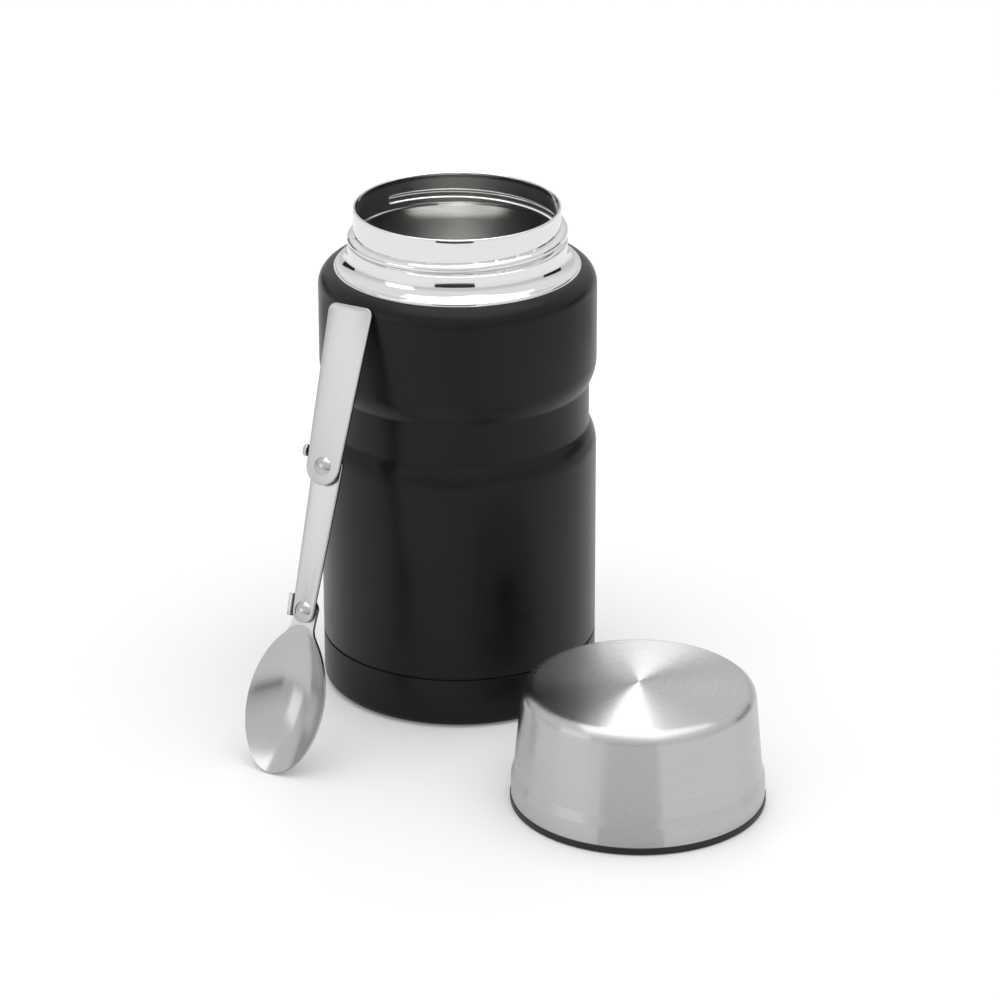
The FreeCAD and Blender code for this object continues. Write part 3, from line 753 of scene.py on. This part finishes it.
@dataclass
class Lid:
    """The screw lid: spun steel outside, black liner with its thread inside."""

    finishes: Finishes
    centre: Point = (62.1, -105.7)
    sheet: float = 0.5
    ring_r: float = 44.73
    ring_h: float = 2.6
    ring_round: float = 0.5
    skirt_r: float = 44.4
    skirt_top: float = 9.3
    skirt_below: float = 0.5
    skirt_bends: tuple[Point, ...] = ((-0.03, 0.0), (-0.16, 0.6))
    step_r: float = 43.24
    step_z: float = 13.2
    step_bends: tuple[Point, ...] = ((0.14, -0.6), (0.0, 0.0), (-0.06, 0.7))
    side_r: float = 40.9
    side_top: float = 39.0
    corner_r: float = 5.0
    top_z: float = 44.5
    bore_r: float = 39.6
    bore_edge: float = 0.6
    wall_r: float = 41.5
    wall_top: float = 22.0
    roof_r: float = 38.5
    roof_z: float = 25.0
    ceiling: float = 23.0
    rib: tuple[Point, ...] = ((32.0, 20.0), (32.3, 19.6), (33.3, 19.6), (33.6, 20.0))
    rib_round: float = 0.6
    ridge_centre: float = 39.3
    ridge_r: float = 1.1
    ridge_z: float = 10.6
    ridge_turns: float = 0.9
    ridge_steps: int = 180
    ridge_sides: int = 16
    pitch: float = 5.2

    def contour(self, inset: float) -> list[Point]:
        """The steel's outside from its lower edge to the axis.

        Args:
            inset: How far inside the outer face.

        Returns:
            Points from the edge up.
        """
        lean = math.degrees(math.atan((self.step_r - self.side_r) / (self.side_top - self.step_z)))
        corner = self.corner_r
        cr = self.side_r - corner * math.cos(math.radians(lean))
        cz = self.side_top - corner * math.sin(math.radians(lean))
        depth = self.top_z - cz
        dome = (cr ** 2 + depth ** 2 - corner ** 2) / (2 * (depth - corner))
        edge = math.degrees(math.atan2(cz - self.top_z + dome, cr))
        skirt = self.skirt_r - inset
        points = [(skirt, self.ring_h), (skirt, self.skirt_top - self.skirt_below)]
        points += [(self.skirt_r + r - inset, self.skirt_top + z) for r, z in self.skirt_bends]
        points += [(self.step_r + r - inset, self.step_z + z) for r, z in self.step_bends]
        points += arc(cr, cz, corner - inset, lean, edge, 22)
        points += arc(0.0, self.top_z - dome, dome - inset, edge, 90, 24)[1:]
        return points[:-1] + [(0.0, self.top_z - inset)]

    def shell(self) -> bpy.types.Object:
        """Build the steel outside."""
        points = self.contour(0.0) + list(reversed(self.contour(self.sheet)))
        return lathe("lid_steel", points, self.centre, 320)

    def liner(self) -> bpy.types.Object:
        """Build the black liner, its rim ring and its sealing rib."""
        soft, corner = self.ring_round, self.rib_round
        seat, shelf = self.skirt_r - self.sheet, self.skirt_top - self.skirt_below
        points = [(self.bore_r + self.bore_edge, 0.0)]
        points += arc(self.ring_r - soft, soft, soft, -90, 0, 5)
        points += arc(self.ring_r - soft, self.ring_h - soft, soft, 0, 90, 5)
        points += [(seat, self.ring_h), (seat, shelf), (self.wall_r, shelf)]
        points += [(self.wall_r, self.wall_top), (self.roof_r, self.roof_z)]
        points += [(0.0, self.roof_z), (0.0, self.ceiling)]
        points += arc(self.rib[0][0] - corner, self.ceiling - corner, corner, 90, 0, 4)
        points += [*self.rib, (self.rib[-1][0], self.ceiling)]
        points += [(self.bore_r, self.ceiling), (self.bore_r, self.bore_edge)]
        return lathe("lid_liner_moulding", points, self.centre, 256)

    def ridge(self) -> bpy.types.Object:
        """Build the liner's thread ridge along its helix with Geometry Nodes."""
        sheet = GeometrySheet("lid_thread_ridge", {
            "Turns": ("Float", self.ridge_turns), "Pitch": ("Float", self.pitch * MM),
            "Radius": ("Float", self.ridge_centre * MM), "Rod": ("Float", self.ridge_r * MM),
            "Finish": ("Material", self.finishes[Look.LINER])})
        given = sheet.given
        spiral = sheet.add("GeometryNodeCurveSpiral", {"Resolution": self.ridge_steps})
        rise = sheet.add("ShaderNodeMath", operation="MULTIPLY")
        ring = sheet.add("GeometryNodeCurvePrimitiveCircle", {"Resolution": self.ridge_sides})
        sweep = sheet.add("GeometryNodeCurveToMesh", {"Fill Caps": True})
        sheet.join((given, "Turns", spiral, "Rotations"), (given, "Radius", spiral, "Start Radius"),
                   (given, "Radius", spiral, "End Radius"), (given, "Turns", rise, 0),
                   (given, "Pitch", rise, 1), (rise, 0, spiral, "Height"),
                   (given, "Rod", ring, "Radius"), (spiral, "Curve", sweep, "Curve"),
                   (ring, "Curve", sweep, "Profile Curve"))
        mesh = sheet.bake(sweep)
        place = (self.centre[0] * MM, self.centre[1] * MM, self.ridge_z * MM)
        mesh.transform(Matrix.Translation(place))
        finish_mesh(mesh, 50.0)
        return link(sheet.name, mesh)

    def build(self) -> None:
        """Make and dress every piece of the lid."""
        f = self.finishes
        dress(self.shell(), f[Look.LID], Body.LID, ["lid_shell"])
        dress(self.liner(), f[Look.LINER], Body.LID, ["lid_liner"])
        dress(self.ridge(), f[Look.LINER], Body.LID)
        dress_node("lid_gasket", f[Look.GASKET])
        dress_node("lid_insulation", f[Look.FOAM])


@dataclass
class Spoon:
    """The folding spoon: handle, middle leaf and bowl on two rivets."""

    finishes: Finishes
    foot: tuple[float, float, float] = (-64.6999, -87.7504, 0.543)
    azimuth: float = 32.0
    lean: float = 22.04
    low: Point = (-1.4001, 58.8799)
    top: Point = (-2.9571, 110.4304)
    bowl_angle: float = 2.14
    link_angle: float = -1.73
    handle_angle: float = -1.23
    sheet: float = 1.5
    bowl_t: float = 1.4
    air: float = 0.05
    low_space: float = 0.5
    top_space: float = 1.5
    head_r: float = 3.3
    head_h: float = 1.3
    head_edge: float = 0.1
    tail_r: float = 2.6
    tail_edge: float = 0.25
    low_tail: float = 0.8
    top_tail: float = 0.4
    pin_r: float = 1.6
    pin_over: float = 0.1
    washer_bore: float = 1.63
    washer_r: float = 3.6
    washer_edge: float = 0.1
    bowl_length: float = 58.94
    bowl_half: float = 26.5
    bowl_width: float = 15.75
    egg: float = 0.23
    depth: float = 8.0
    blend: float = 0.25
    bowl_rows: int = 150
    bowl_columns: int = 48
    bowl_margin: float = 0.02
    rim_radians: float = 0.7
    rim_round: float = 0.16
    necking: tuple[Point, ...] = ((49.0, 6.85), (50.75, 5.45), (52.6, 4.75))
    tang_from: float = 54.8
    tang: float = 4.6
    tang_r: float = 4.8
    link_low_r: float = 4.3
    link_top_r: float = 6.05
    handle_end: float = 6.7
    handle_half: float = 8.95
    handle_length: float = 57.3
    handle_corner: float = 3.0
    edge: float = 0.3
    tuck: float = 0.05
    round_stop_x: Point = (-7.8, -4.0)
    round_stop_r: float = 2.15
    round_stop_y: float = 4.3
    round_stop_over: float = 0.1
    square_stop_x: float = -4.55
    square_stop_y: Point = (-2.4, 5.5)
    square_stop_reach: float = 1.6
    square_stop_front: float = 2.7

    def __post_init__(self) -> None:
        """Work out the plane that the spoon lies in and the heights of its layers."""
        a, t = math.radians(self.azimuth), math.radians(self.lean)
        right = Vector((math.cos(a), -math.sin(a), 0.0))
        face = Vector((-math.sin(a) * math.cos(t), -math.cos(a) * math.cos(t), math.sin(t)))
        up = face.cross(right)
        self.plane = Matrix((right, up, face)).transposed().to_4x4()
        self.plane.translation = Vector(self.foot)
        self.link_back = self.low_space
        self.link_front = self.link_back + self.sheet
        self.handle_back = self.link_front + self.top_space
        self.handle_front = self.handle_back + self.sheet
        self.link_length = math.dist(self.low, self.top)

    def at(self, pivot: Point, angle: float = 0.0) -> Matrix:
        """Matrix that carries a leaf drawn upwards from its pivot to its place.

        Args:
            pivot: The pivot in the spoon's plane.
            angle: Clockwise turn.

        Returns:
            The matrix from millimetres in the leaf to metres in the frame.
        """
        turn = Matrix.Rotation(math.radians(-angle), 4, "Z")
        return Matrix.Scale(MM, 4) @ self.plane @ Matrix.Translation((*pivot, 0.0)) @ turn

    def leaf(self, bm: bmesh.types.BMesh, outline: Sequence[Point], low: float, high: float,
             tilt: Matrix | None = None) -> None:
        """Add a flat leaf with rounded edges to a mesh.

        Args:
            bm: The mesh that takes the leaf.
            outline: Its outline, anticlockwise.
            low: Height of its back.
            high: Height of its front.
            tilt: Optional matrix applied to the leaf.
        """
        part = bmesh.new()
        face = part.faces.new([part.verts.new((x, y, low)) for x, y in outline])
        raised = bmesh.ops.extrude_face_region(part, geom=[face])
        verts = [g for g in raised["geom"] if isinstance(g, bmesh.types.BMVert)]
        bmesh.ops.translate(part, verts=verts, vec=(0.0, 0.0, high - low))
        rims = [e for e in part.edges if abs(e.verts[0].co.z - e.verts[1].co.z) < TINY]
        bmesh.ops.bevel(part, geom=rims, offset=self.edge, segments=3, profile=0.5,
                        affect="EDGES")
        bmesh.ops.recalc_face_normals(part, faces=part.faces)
        if tilt is not None:
            bmesh.ops.transform(part, matrix=tilt, verts=part.verts)
        mesh = bpy.data.meshes.new("leaf")
        part.to_mesh(mesh)
        part.free()
        bm.from_mesh(mesh)
        bpy.data.meshes.remove(mesh)

    def close(self, name: str, bm: bmesh.types.BMesh, place: Matrix, crease: float = 35.0,
              outward: bool = False) -> bpy.types.Object:
        """Map a drawn piece along its length, carry it to its place and link it.

        Args:
            name: Name of the piece.
            bm: The piece in its own plane.
            place: Matrix to the frame.
            crease: Angle past which an edge stays sharp.
            outward: Whether its normals are worked out again.

        Returns:
            The piece.
        """
        uv = bm.loops.layers.uv.new("map")
        for face in bm.faces:
            for loop in face.loops:
                loop[uv].uv = (loop.vert.co.x * MM, loop.vert.co.y * MM)
        mesh = bpy.data.meshes.new(name)
        bm.to_mesh(mesh)
        bm.free()
        mesh.transform(place)
        finish_mesh(mesh, crease, outward)
        return link(name, mesh)

    def handle(self) -> bpy.types.Object:
        """Build the upper leaf, square at its top with rounded corners."""
        lean = math.degrees(math.asin((self.handle_half - self.handle_end) / self.handle_length))
        r, h, c = self.handle_half, self.handle_length, self.handle_corner
        points = arc(0.0, 0.0, self.handle_end, 180 + lean, 360 - lean, 40)
        points += arc(r - c, h - c, c, 0, 90, 10) + arc(c - r, h - c, c, 90, 180, 10)
        bm = bmesh.new()
        self.leaf(bm, points, self.handle_back, self.handle_front)
        return self.close("spoon_grip_leaf", bm, self.at(self.top, self.handle_angle))

    def middle(self) -> bpy.types.Object:
        """Build the middle leaf with the handle's half-round stop."""
        r0, r1, h = self.link_low_r, self.link_top_r, self.link_length
        lean = math.degrees(math.asin((r1 - r0) / h))
        points = arc(0.0, 0.0, r0, 180 + lean, 360 - lean, 32)
        points += arc(0.0, h, r1, -lean, 180 + lean, 40)
        bm = bmesh.new()
        self.leaf(bm, points, self.link_back, self.link_front)
        half, back = self.round_stop_r, -self.link_back
        y, tip = h + self.round_stop_y, self.handle_front + self.round_stop_over - half
        inner, root = self.round_stop_x
        outer = inner - self.sheet
        ear = oblong(outer + self.tuck, root, y - half, y + half)
        self.leaf(bm, ear, self.link_back, self.link_front)
        side = [(-half, back), (-half, -tip), *arc(0.0, -tip, half, 180, 360, 18)[1:], (half, back)]
        stand = Matrix(((0, 0, 1, outer), (0, 1, 0, y), (1, 0, 0, 0), (0, 0, 0, 1)))
        self.leaf(bm, [(-z, x) for x, z in side], 0.0, self.sheet, stand)
        return self.close("spoon_middle_leaf", bm, self.at(self.low, self.link_angle),
                          outward=True)

    def oval_width(self, q: float) -> float:
        """Half width of the bowl's full ellipse at a place along it.

        Args:
            q: -1 at the tip to 1 at the tang.

        Returns:
            Half width.
        """
        return self.bowl_width * (1.0 - self.egg * (0.5 * (q + 1.0)) ** 4)

    def half_outline(self, y: float) -> float:
        """Half width of the bowl's outline at a height above the tip.

        Args:
            y: Height above the tip.

        Returns:
            Half width.
        """
        end = self.bowl_length + math.sqrt(self.tang_r ** 2 - self.tang ** 2)
        if y >= end:
            return math.sqrt(max(0.0, self.tang_r ** 2 - (y - self.bowl_length) ** 2))
        knots = (*self.necking, (self.tang_from, self.tang))
        if y <= knots[0][0]:
            q = min(1.0, y / self.bowl_half - 1.0)
            return self.oval_width(q) * math.sqrt(max(0.0, 1.0 - q * q))
        for (y0, w0), (y1, w1) in zip(knots, knots[1:]):
            if y <= y1:
                return w0 + (w1 - w0) * (y - y0) / (y1 - y0)
        return self.tang

    def front_height(self, x: float, y: float) -> float:
        """Height of the bowl's front face, hollow and tang in one.

        Args:
            x: Place across.
            y: Height above the tip.

        Returns:
            Height of the face.
        """
        q = y / self.bowl_half - 1.0
        hollow = -self.depth * (1.0 - (x / self.oval_width(q)) ** 2 - q * q)
        if y < self.necking[0][0]:
            return min(0.0, hollow)
        return 0.5 * (hollow - math.sqrt(hollow * hollow + self.blend * self.blend))

    def bowl(self) -> bpy.types.Object:
        """Build the bowl and its tang as one pressed sheet, with the square stop."""
        rows, columns, margin = self.bowl_rows, self.bowl_columns, self.bowl_margin
        last = self.bowl_length + self.tang_r
        bm = bmesh.new()
        fronts, backs = [], []
        for i in range(rows + 1):
            y = 0.5 * last * (1.0 - math.cos(math.pi * i / rows))
            y = min(max(y, margin), last - margin)
            w = self.half_outline(y)
            front, back = [], []
            for j in range(columns + 1):
                x = -w * math.cos(math.pi * j / columns)
                z = self.front_height(x, y)
                front.append(bm.verts.new((x, y, z)))
                back.append(bm.verts.new((x, y, z - self.bowl_t)))
            fronts.append(front)
            backs.append(back)
        for i in range(rows):
            low, high, under, over = fronts[i], fronts[i + 1], backs[i], backs[i + 1]
            for j in range(columns):
                bm.faces.new((low[j], low[j + 1], high[j + 1], high[j]))
                bm.faces.new((under[j], over[j], over[j + 1], under[j + 1]))
            for j in (0, columns):
                bm.faces.new((low[j], high[j], over[j], under[j]))
        for front, back in ((fronts[0], backs[0]), (fronts[rows], backs[rows])):
            for j in range(columns):
                bm.faces.new((front[j], back[j], back[j + 1], front[j + 1]))
        bmesh.ops.recalc_face_normals(bm, faces=bm.faces)
        rim = [e for e in bm.edges
               if len(e.link_faces) == 2 and e.calc_face_angle(0.0) > self.rim_radians]
        bmesh.ops.bevel(bm, geom=rim, offset=self.rim_round, segments=2, profile=0.5,
                        affect="EDGES", clamp_overlap=True)
        self.square_stop(bm)
        place = self.at(self.low, self.bowl_angle)
        down = Matrix.Translation((0.0, -self.bowl_length, 0.0))
        return self.close("spoon_scoop_sheet", bm, place @ down, 40.0)

    def square_stop(self, bm: bmesh.types.BMesh) -> None:
        """Add the folded-up stop beside the tang.

        Args:
            bm: The bowl's mesh.
        """
        taper = math.degrees(math.asin((self.link_top_r - self.link_low_r) / self.link_length))
        angle = self.bowl_angle - self.link_angle + taper
        turn = Matrix.Rotation(math.radians(angle), 4, "Z")
        lift = Matrix.Translation((0.0, self.bowl_length, 0.0)) @ turn
        inner, outer = self.square_stop_x, self.square_stop_x - self.sheet
        root = inner + self.square_stop_reach
        self.leaf(bm, oblong(outer + self.tuck, root, *self.square_stop_y), -self.bowl_t, 0.0,
                  lift)
        self.leaf(bm, oblong(outer, inner, *self.square_stop_y), -self.bowl_t,
                  self.square_stop_front, lift)

    def heads(self) -> bpy.types.Object:
        """Build both rivet heads, put on their points with Geometry Nodes."""
        r = (self.head_r ** 2 + self.head_h ** 2) / (2 * self.head_h)
        edge = math.degrees(math.acos(self.head_r / r))
        cap = arc(0.0, self.head_h - r, r, edge, 90, 10)
        foot = [(0.0, 0.0), (self.head_r - self.head_edge, 0.0)]
        source = lathe("rivet_head_source", foot + cap[:-1] + [(0.0, self.head_h)], segments=48,
                       crease=60.0)
        marks = bpy.data.meshes.new("rivet_points")
        places = [(*self.low, self.link_front), (*self.top, self.handle_front + self.air)]
        marks.from_pydata([tuple(c * MM for c in p) for p in places], [], [])
        sheet = GeometrySheet("rivet_heads", {
            "Geometry": ("Geometry", None), "Head": ("Object", source),
            "Head Scale": ("Float", 1.0), "Finish": ("Material", self.finishes[Look.SPOON])})
        info = sheet.add("GeometryNodeObjectInfo")
        points = sheet.add("GeometryNodeInstanceOnPoints")
        sheet.join((sheet.given, "Geometry", points, "Points"),
                   (sheet.given, "Head", info, "Object"), (info, "Geometry", points, "Instance"),
                   (sheet.given, "Head Scale", points, "Scale"))
        mesh = sheet.bake(points, marks)
        bpy.data.objects.remove(source)
        mesh.transform(self.at((0.0, 0.0)) @ Matrix.Scale(1.0 / MM, 4))
        finish_mesh(mesh, 60.0)
        return link(sheet.name, mesh)

    def turned(self, name: str, profile: Sequence[Point], pivot: Point) -> bpy.types.Object:
        """Spin a small round piece about a joint.

        Args:
            name: Name of the piece.
            profile: Closed profile, up the joint's axis.
            pivot: The joint's place in the spoon's plane.

        Returns:
            The piece.
        """
        piece = lathe(name, profile, segments=64, crease=40.0)
        piece.data.transform(self.at(pivot) @ Matrix.Scale(1.0 / MM, 4))
        return piece

    def shank(self, tail_z: float, head_z: float, tail_h: float) -> list[Point]:
        """Profile of a rivet's shank and its flattened tail.

        Args:
            tail_z: Where the tail meets the back leaf.
            head_z: Where the head begins.
            tail_h: Thickness of the tail.

        Returns:
            The closed profile.
        """
        low, r, edge = tail_z - tail_h, self.tail_r, self.tail_edge
        return [(0.0, low), (r - edge, low), (r, low + edge), (r, tail_z),
                (self.pin_r, tail_z), (self.pin_r, head_z), (0.0, head_z)]

    def washer(self, low: float, high: float) -> list[Point]:
        """Profile of a washer.

        Args:
            low: Height of its back.
            high: Height of its front.

        Returns:
            The closed profile.
        """
        bore, r, edge = self.washer_bore, self.washer_r, self.washer_edge
        return [(bore, low), (r - edge, low), (r, low + edge), (r, high - edge),
                (r - edge, high), (bore, high)]

    def build(self) -> None:
        """Make and dress every piece of the spoon."""
        low_shank = self.shank(-self.bowl_t - self.air, self.link_front + self.pin_over,
                               self.low_tail)
        top_shank = self.shank(self.link_back, self.handle_front + self.air + self.pin_over,
                               self.top_tail)
        thin = self.washer(self.air, self.link_back)
        thick = self.washer(self.link_front, self.handle_back - self.air)
        rows = (
            (self.handle(), Body.GRIP, ["spoon_handle"]),
            (self.middle(), Body.MIDDLE, ["spoon_link"]),
            (self.bowl(), Body.SCOOP, ["spoon_bowl"]),
            (self.heads(), Body.MIDDLE, []),
            (self.turned("rivet_shank_lower", low_shank, self.low), Body.MIDDLE,
             ["spoon_rivet_lower"]),
            (self.turned("rivet_shank_upper", top_shank, self.top), Body.MIDDLE,
             ["spoon_rivet_upper"]),
            (self.turned("washer_lower", thin, self.low), Body.MIDDLE, ["spoon_washer_lower"]),
            (self.turned("washer_upper", thick, self.top), Body.MIDDLE, ["spoon_washer_upper"]),
        )
        for piece, body, nodes in rows:
            dress(piece, self.finishes[Look.SPOON], body, nodes)


# Reflectors and lamps, in metres.
CARD_Z = 0.0004
UPRIGHT_CARDS = {
    "front_card": ((-0.30, -0.72), (0.22, -0.72), 0.0, 0.07),
    "left_card": ((-1.35, 0.95), (-0.75, 1.45), 0.05, 0.36),
    "right_card": ((1.45, 0.15), (1.15, 0.85), 0.05, 0.36),
}
FLAT_CARDS = {
    "near_strip": ((-0.06, -0.31), (-0.08, -0.33), (0.12, -0.33), (0.11, -0.31)),
    "grey_strip": ((0.0444, -0.150), (-0.0067, -0.2154), (0.098, -0.231), (0.071, -0.1526)),
    "front_strip": ((-0.024, -0.443), (0.072, -0.443), (0.072, -0.436), (-0.024, -0.436)),
}
CURVED_CARDS = {
    "left_patch": ((-0.035, -0.012), 0.375, 0.435, 119.0, 143.0),
    "right_patch": ((0.031, -0.018), 0.375, 0.435, -1.0, 56.0),
}
LAMPS = {
    "overhead_softbox": ((0.1, -0.1, 1.5), (0.0, -0.05, 0.0), (1.7, 1.7), 10.0),
    "back_softbox": ((0.04, 1.35, 1.5), (0.06, -0.1, 0.05), (0.3, 0.5), 2.6),
    "left_softbox": ((-1.35, -0.75, 0.5), (-0.05, -0.06, 0.1), (0.9, 0.7), 1.2),
}


@dataclass
class Studio:
    """Floor, sky, lamps, reflectors and the camera of the photograph.

    Places and sizes are in metres, except the lens and the sensor, in millimetres.
    """

    camera_at: tuple[float, float, float] = (0.001561, -1.523136, 0.713854)
    forward: tuple[float, float, float] = (0.00815, 0.92066, -0.39028)
    right: tuple[float, float, float] = (0.99995, -0.00956, -0.00166)
    lens: float = 162.95
    sensor: float = 36.0
    camera_reach: float = 20.0
    floor_half: float = 5.0
    floor_z: float = -0.0002
    floor_tint: Colour = (0.80, 0.81, 0.80)
    floor_glow: float = 0.11
    sky_from: float = 0.1
    sky_to: float = 0.42
    sky_low: float = 0.78
    sky_high: float = 1.05
    dark_tone: float = 0.02
    grey_tone: float = 0.6

    def camera(self) -> None:
        """Place the camera as the photograph was taken."""
        data = bpy.data.cameras.new("photo_camera")
        data.lens = self.lens
        data.sensor_width = self.sensor
        data.clip_end = self.camera_reach
        camera = link("photo_camera", data)
        back = -Vector(self.forward).normalized()
        up = back.cross(Vector(self.right).normalized()).normalized()
        turn = Matrix((up.cross(back), up, back)).transposed().to_4x4()
        camera.matrix_world = Matrix.Translation(self.camera_at) @ turn
        bpy.context.scene.camera = camera

    def floor(self) -> None:
        """Lay a pale floor that glows white to the camera and keeps the shadow."""
        half, z = self.floor_half, self.floor_z
        mesh = bpy.data.meshes.new("floor")
        corners = [(x, y, z) for x, y in oblong(-half, half, -half, half)]
        mesh.from_pydata(corners, [], [(0, 1, 2, 3)])
        floor = link("floor", mesh)
        sheet = MaterialSheet("pale_floor")
        paper = sheet.add("ShaderNodeBsdfDiffuse", {"Color": (*self.floor_tint, 1.0)})
        glow = sheet.add("ShaderNodeEmission", {"Strength": self.floor_glow})
        black = sheet.add("ShaderNodeEmission", {"Strength": 0.0})
        rays = sheet.add("ShaderNodeLightPath")
        pick = sheet.add("ShaderNodeMixShader")
        both = sheet.add("ShaderNodeAddShader")
        sheet.join((rays, "Is Camera Ray", pick, "Fac"), (black, "Emission", pick, 1),
                   (glow, "Emission", pick, 2), (paper, "BSDF", both, 0), (pick, 0, both, 1))
        mesh.materials.append(sheet.close(both, "Shader"))

    def sky(self) -> None:
        """Light the room evenly, dimmer towards the horizon."""
        world = bpy.data.worlds.new("studio")
        bpy.context.scene.world = world
        world.use_nodes = True
        sheet = NodeSheet(world.node_tree)
        place = sheet.add("ShaderNodeTexCoord")
        split = sheet.add("ShaderNodeSeparateXYZ")
        rise = sheet.add("ShaderNodeMapRange", {
            "From Min": self.sky_from, "From Max": self.sky_to,
            "To Min": self.sky_low, "To Max": self.sky_high})
        light = sheet.add("ShaderNodeBackground")
        out = sheet.add("ShaderNodeOutputWorld")
        sheet.join((place, "Generated", split, "Vector"), (split, "Z", rise, "Value"),
                   (rise, "Result", light, "Strength"), (light, "Background", out, "Surface"))

    def card(self, name: str, corners: Sequence[tuple[float, ...]]) -> None:
        """Put up a dark or grey card that only shows as a reflection in the steel.

        Args:
            name: Its name, which starts with grey for a grey one.
            corners: Its corners in order.
        """
        mesh = bpy.data.meshes.new(name)
        mesh.from_pydata(corners, [], [tuple(range(len(corners)))])
        card = link(name, mesh)
        sheet = MaterialSheet(name + "_paper")
        tone = self.grey_tone if name.startswith("grey") else self.dark_tone
        paper = sheet.add("ShaderNodeBsdfDiffuse", {"Color": (tone, tone, tone, 1.0)})
        mesh.materials.append(sheet.close(paper, "BSDF"))
        card.visible_camera = False
        card.visible_diffuse = False
        card.visible_shadow = False

    def cards(self) -> None:
        """Put up the upright cards and lay the strips on the floor."""
        for name, (a, b, low, high) in UPRIGHT_CARDS.items():
            self.card(name, [(*a, low), (*b, low), (*b, high), (*a, high)])
        flats = dict(FLAT_CARDS)
        for name, (centre, near, far, start, end) in CURVED_CARDS.items():
            flats[name] = arc(*centre, near, start, end, 12) + arc(*centre, far, end, start, 12)
        for name, corners in flats.items():
            self.card(name, [(x, y, CARD_Z) for x, y in corners])

    def lamp(self, name: str, at: Sequence[float], aim: Sequence[float], size: Point,
             power: float) -> None:
        """Hang a soft rectangular lamp.

        Args:
            name: Its name.
            at: Where it hangs.
            aim: The point that it faces.
            size: Width and height.
            power: Power in watts.
        """
        data = bpy.data.lights.new(name, "AREA")
        data.shape = "RECTANGLE"
        data.size, data.size_y = size
        data.energy = power
        turn = (Vector(aim) - Vector(at)).to_track_quat("-Z", "Y").to_matrix().to_4x4()
        link(name, data).matrix_world = Matrix.Translation(at) @ turn

    def build(self) -> None:
        """Set up the whole studio."""
        bpy.context.scene.view_settings.view_transform = "Standard"
        self.camera()
        self.floor()
        self.sky()
        for name, values in LAMPS.items():
            self.lamp(name, *values)
        self.cards()


def main() -> None:
    """Build the object and the studio."""
    logging.basicConfig(level=logging.INFO, format="%(name)s: %(message)s")
    finishes = {look: look.value.build() for look in Look}
    for part in (Jar(finishes), Lid(finishes), Spoon(finishes)):
        part.build()
        log.info("%s is complete", type(part).__name__)
    Studio().build()


if __name__ == "__main__":
    main()
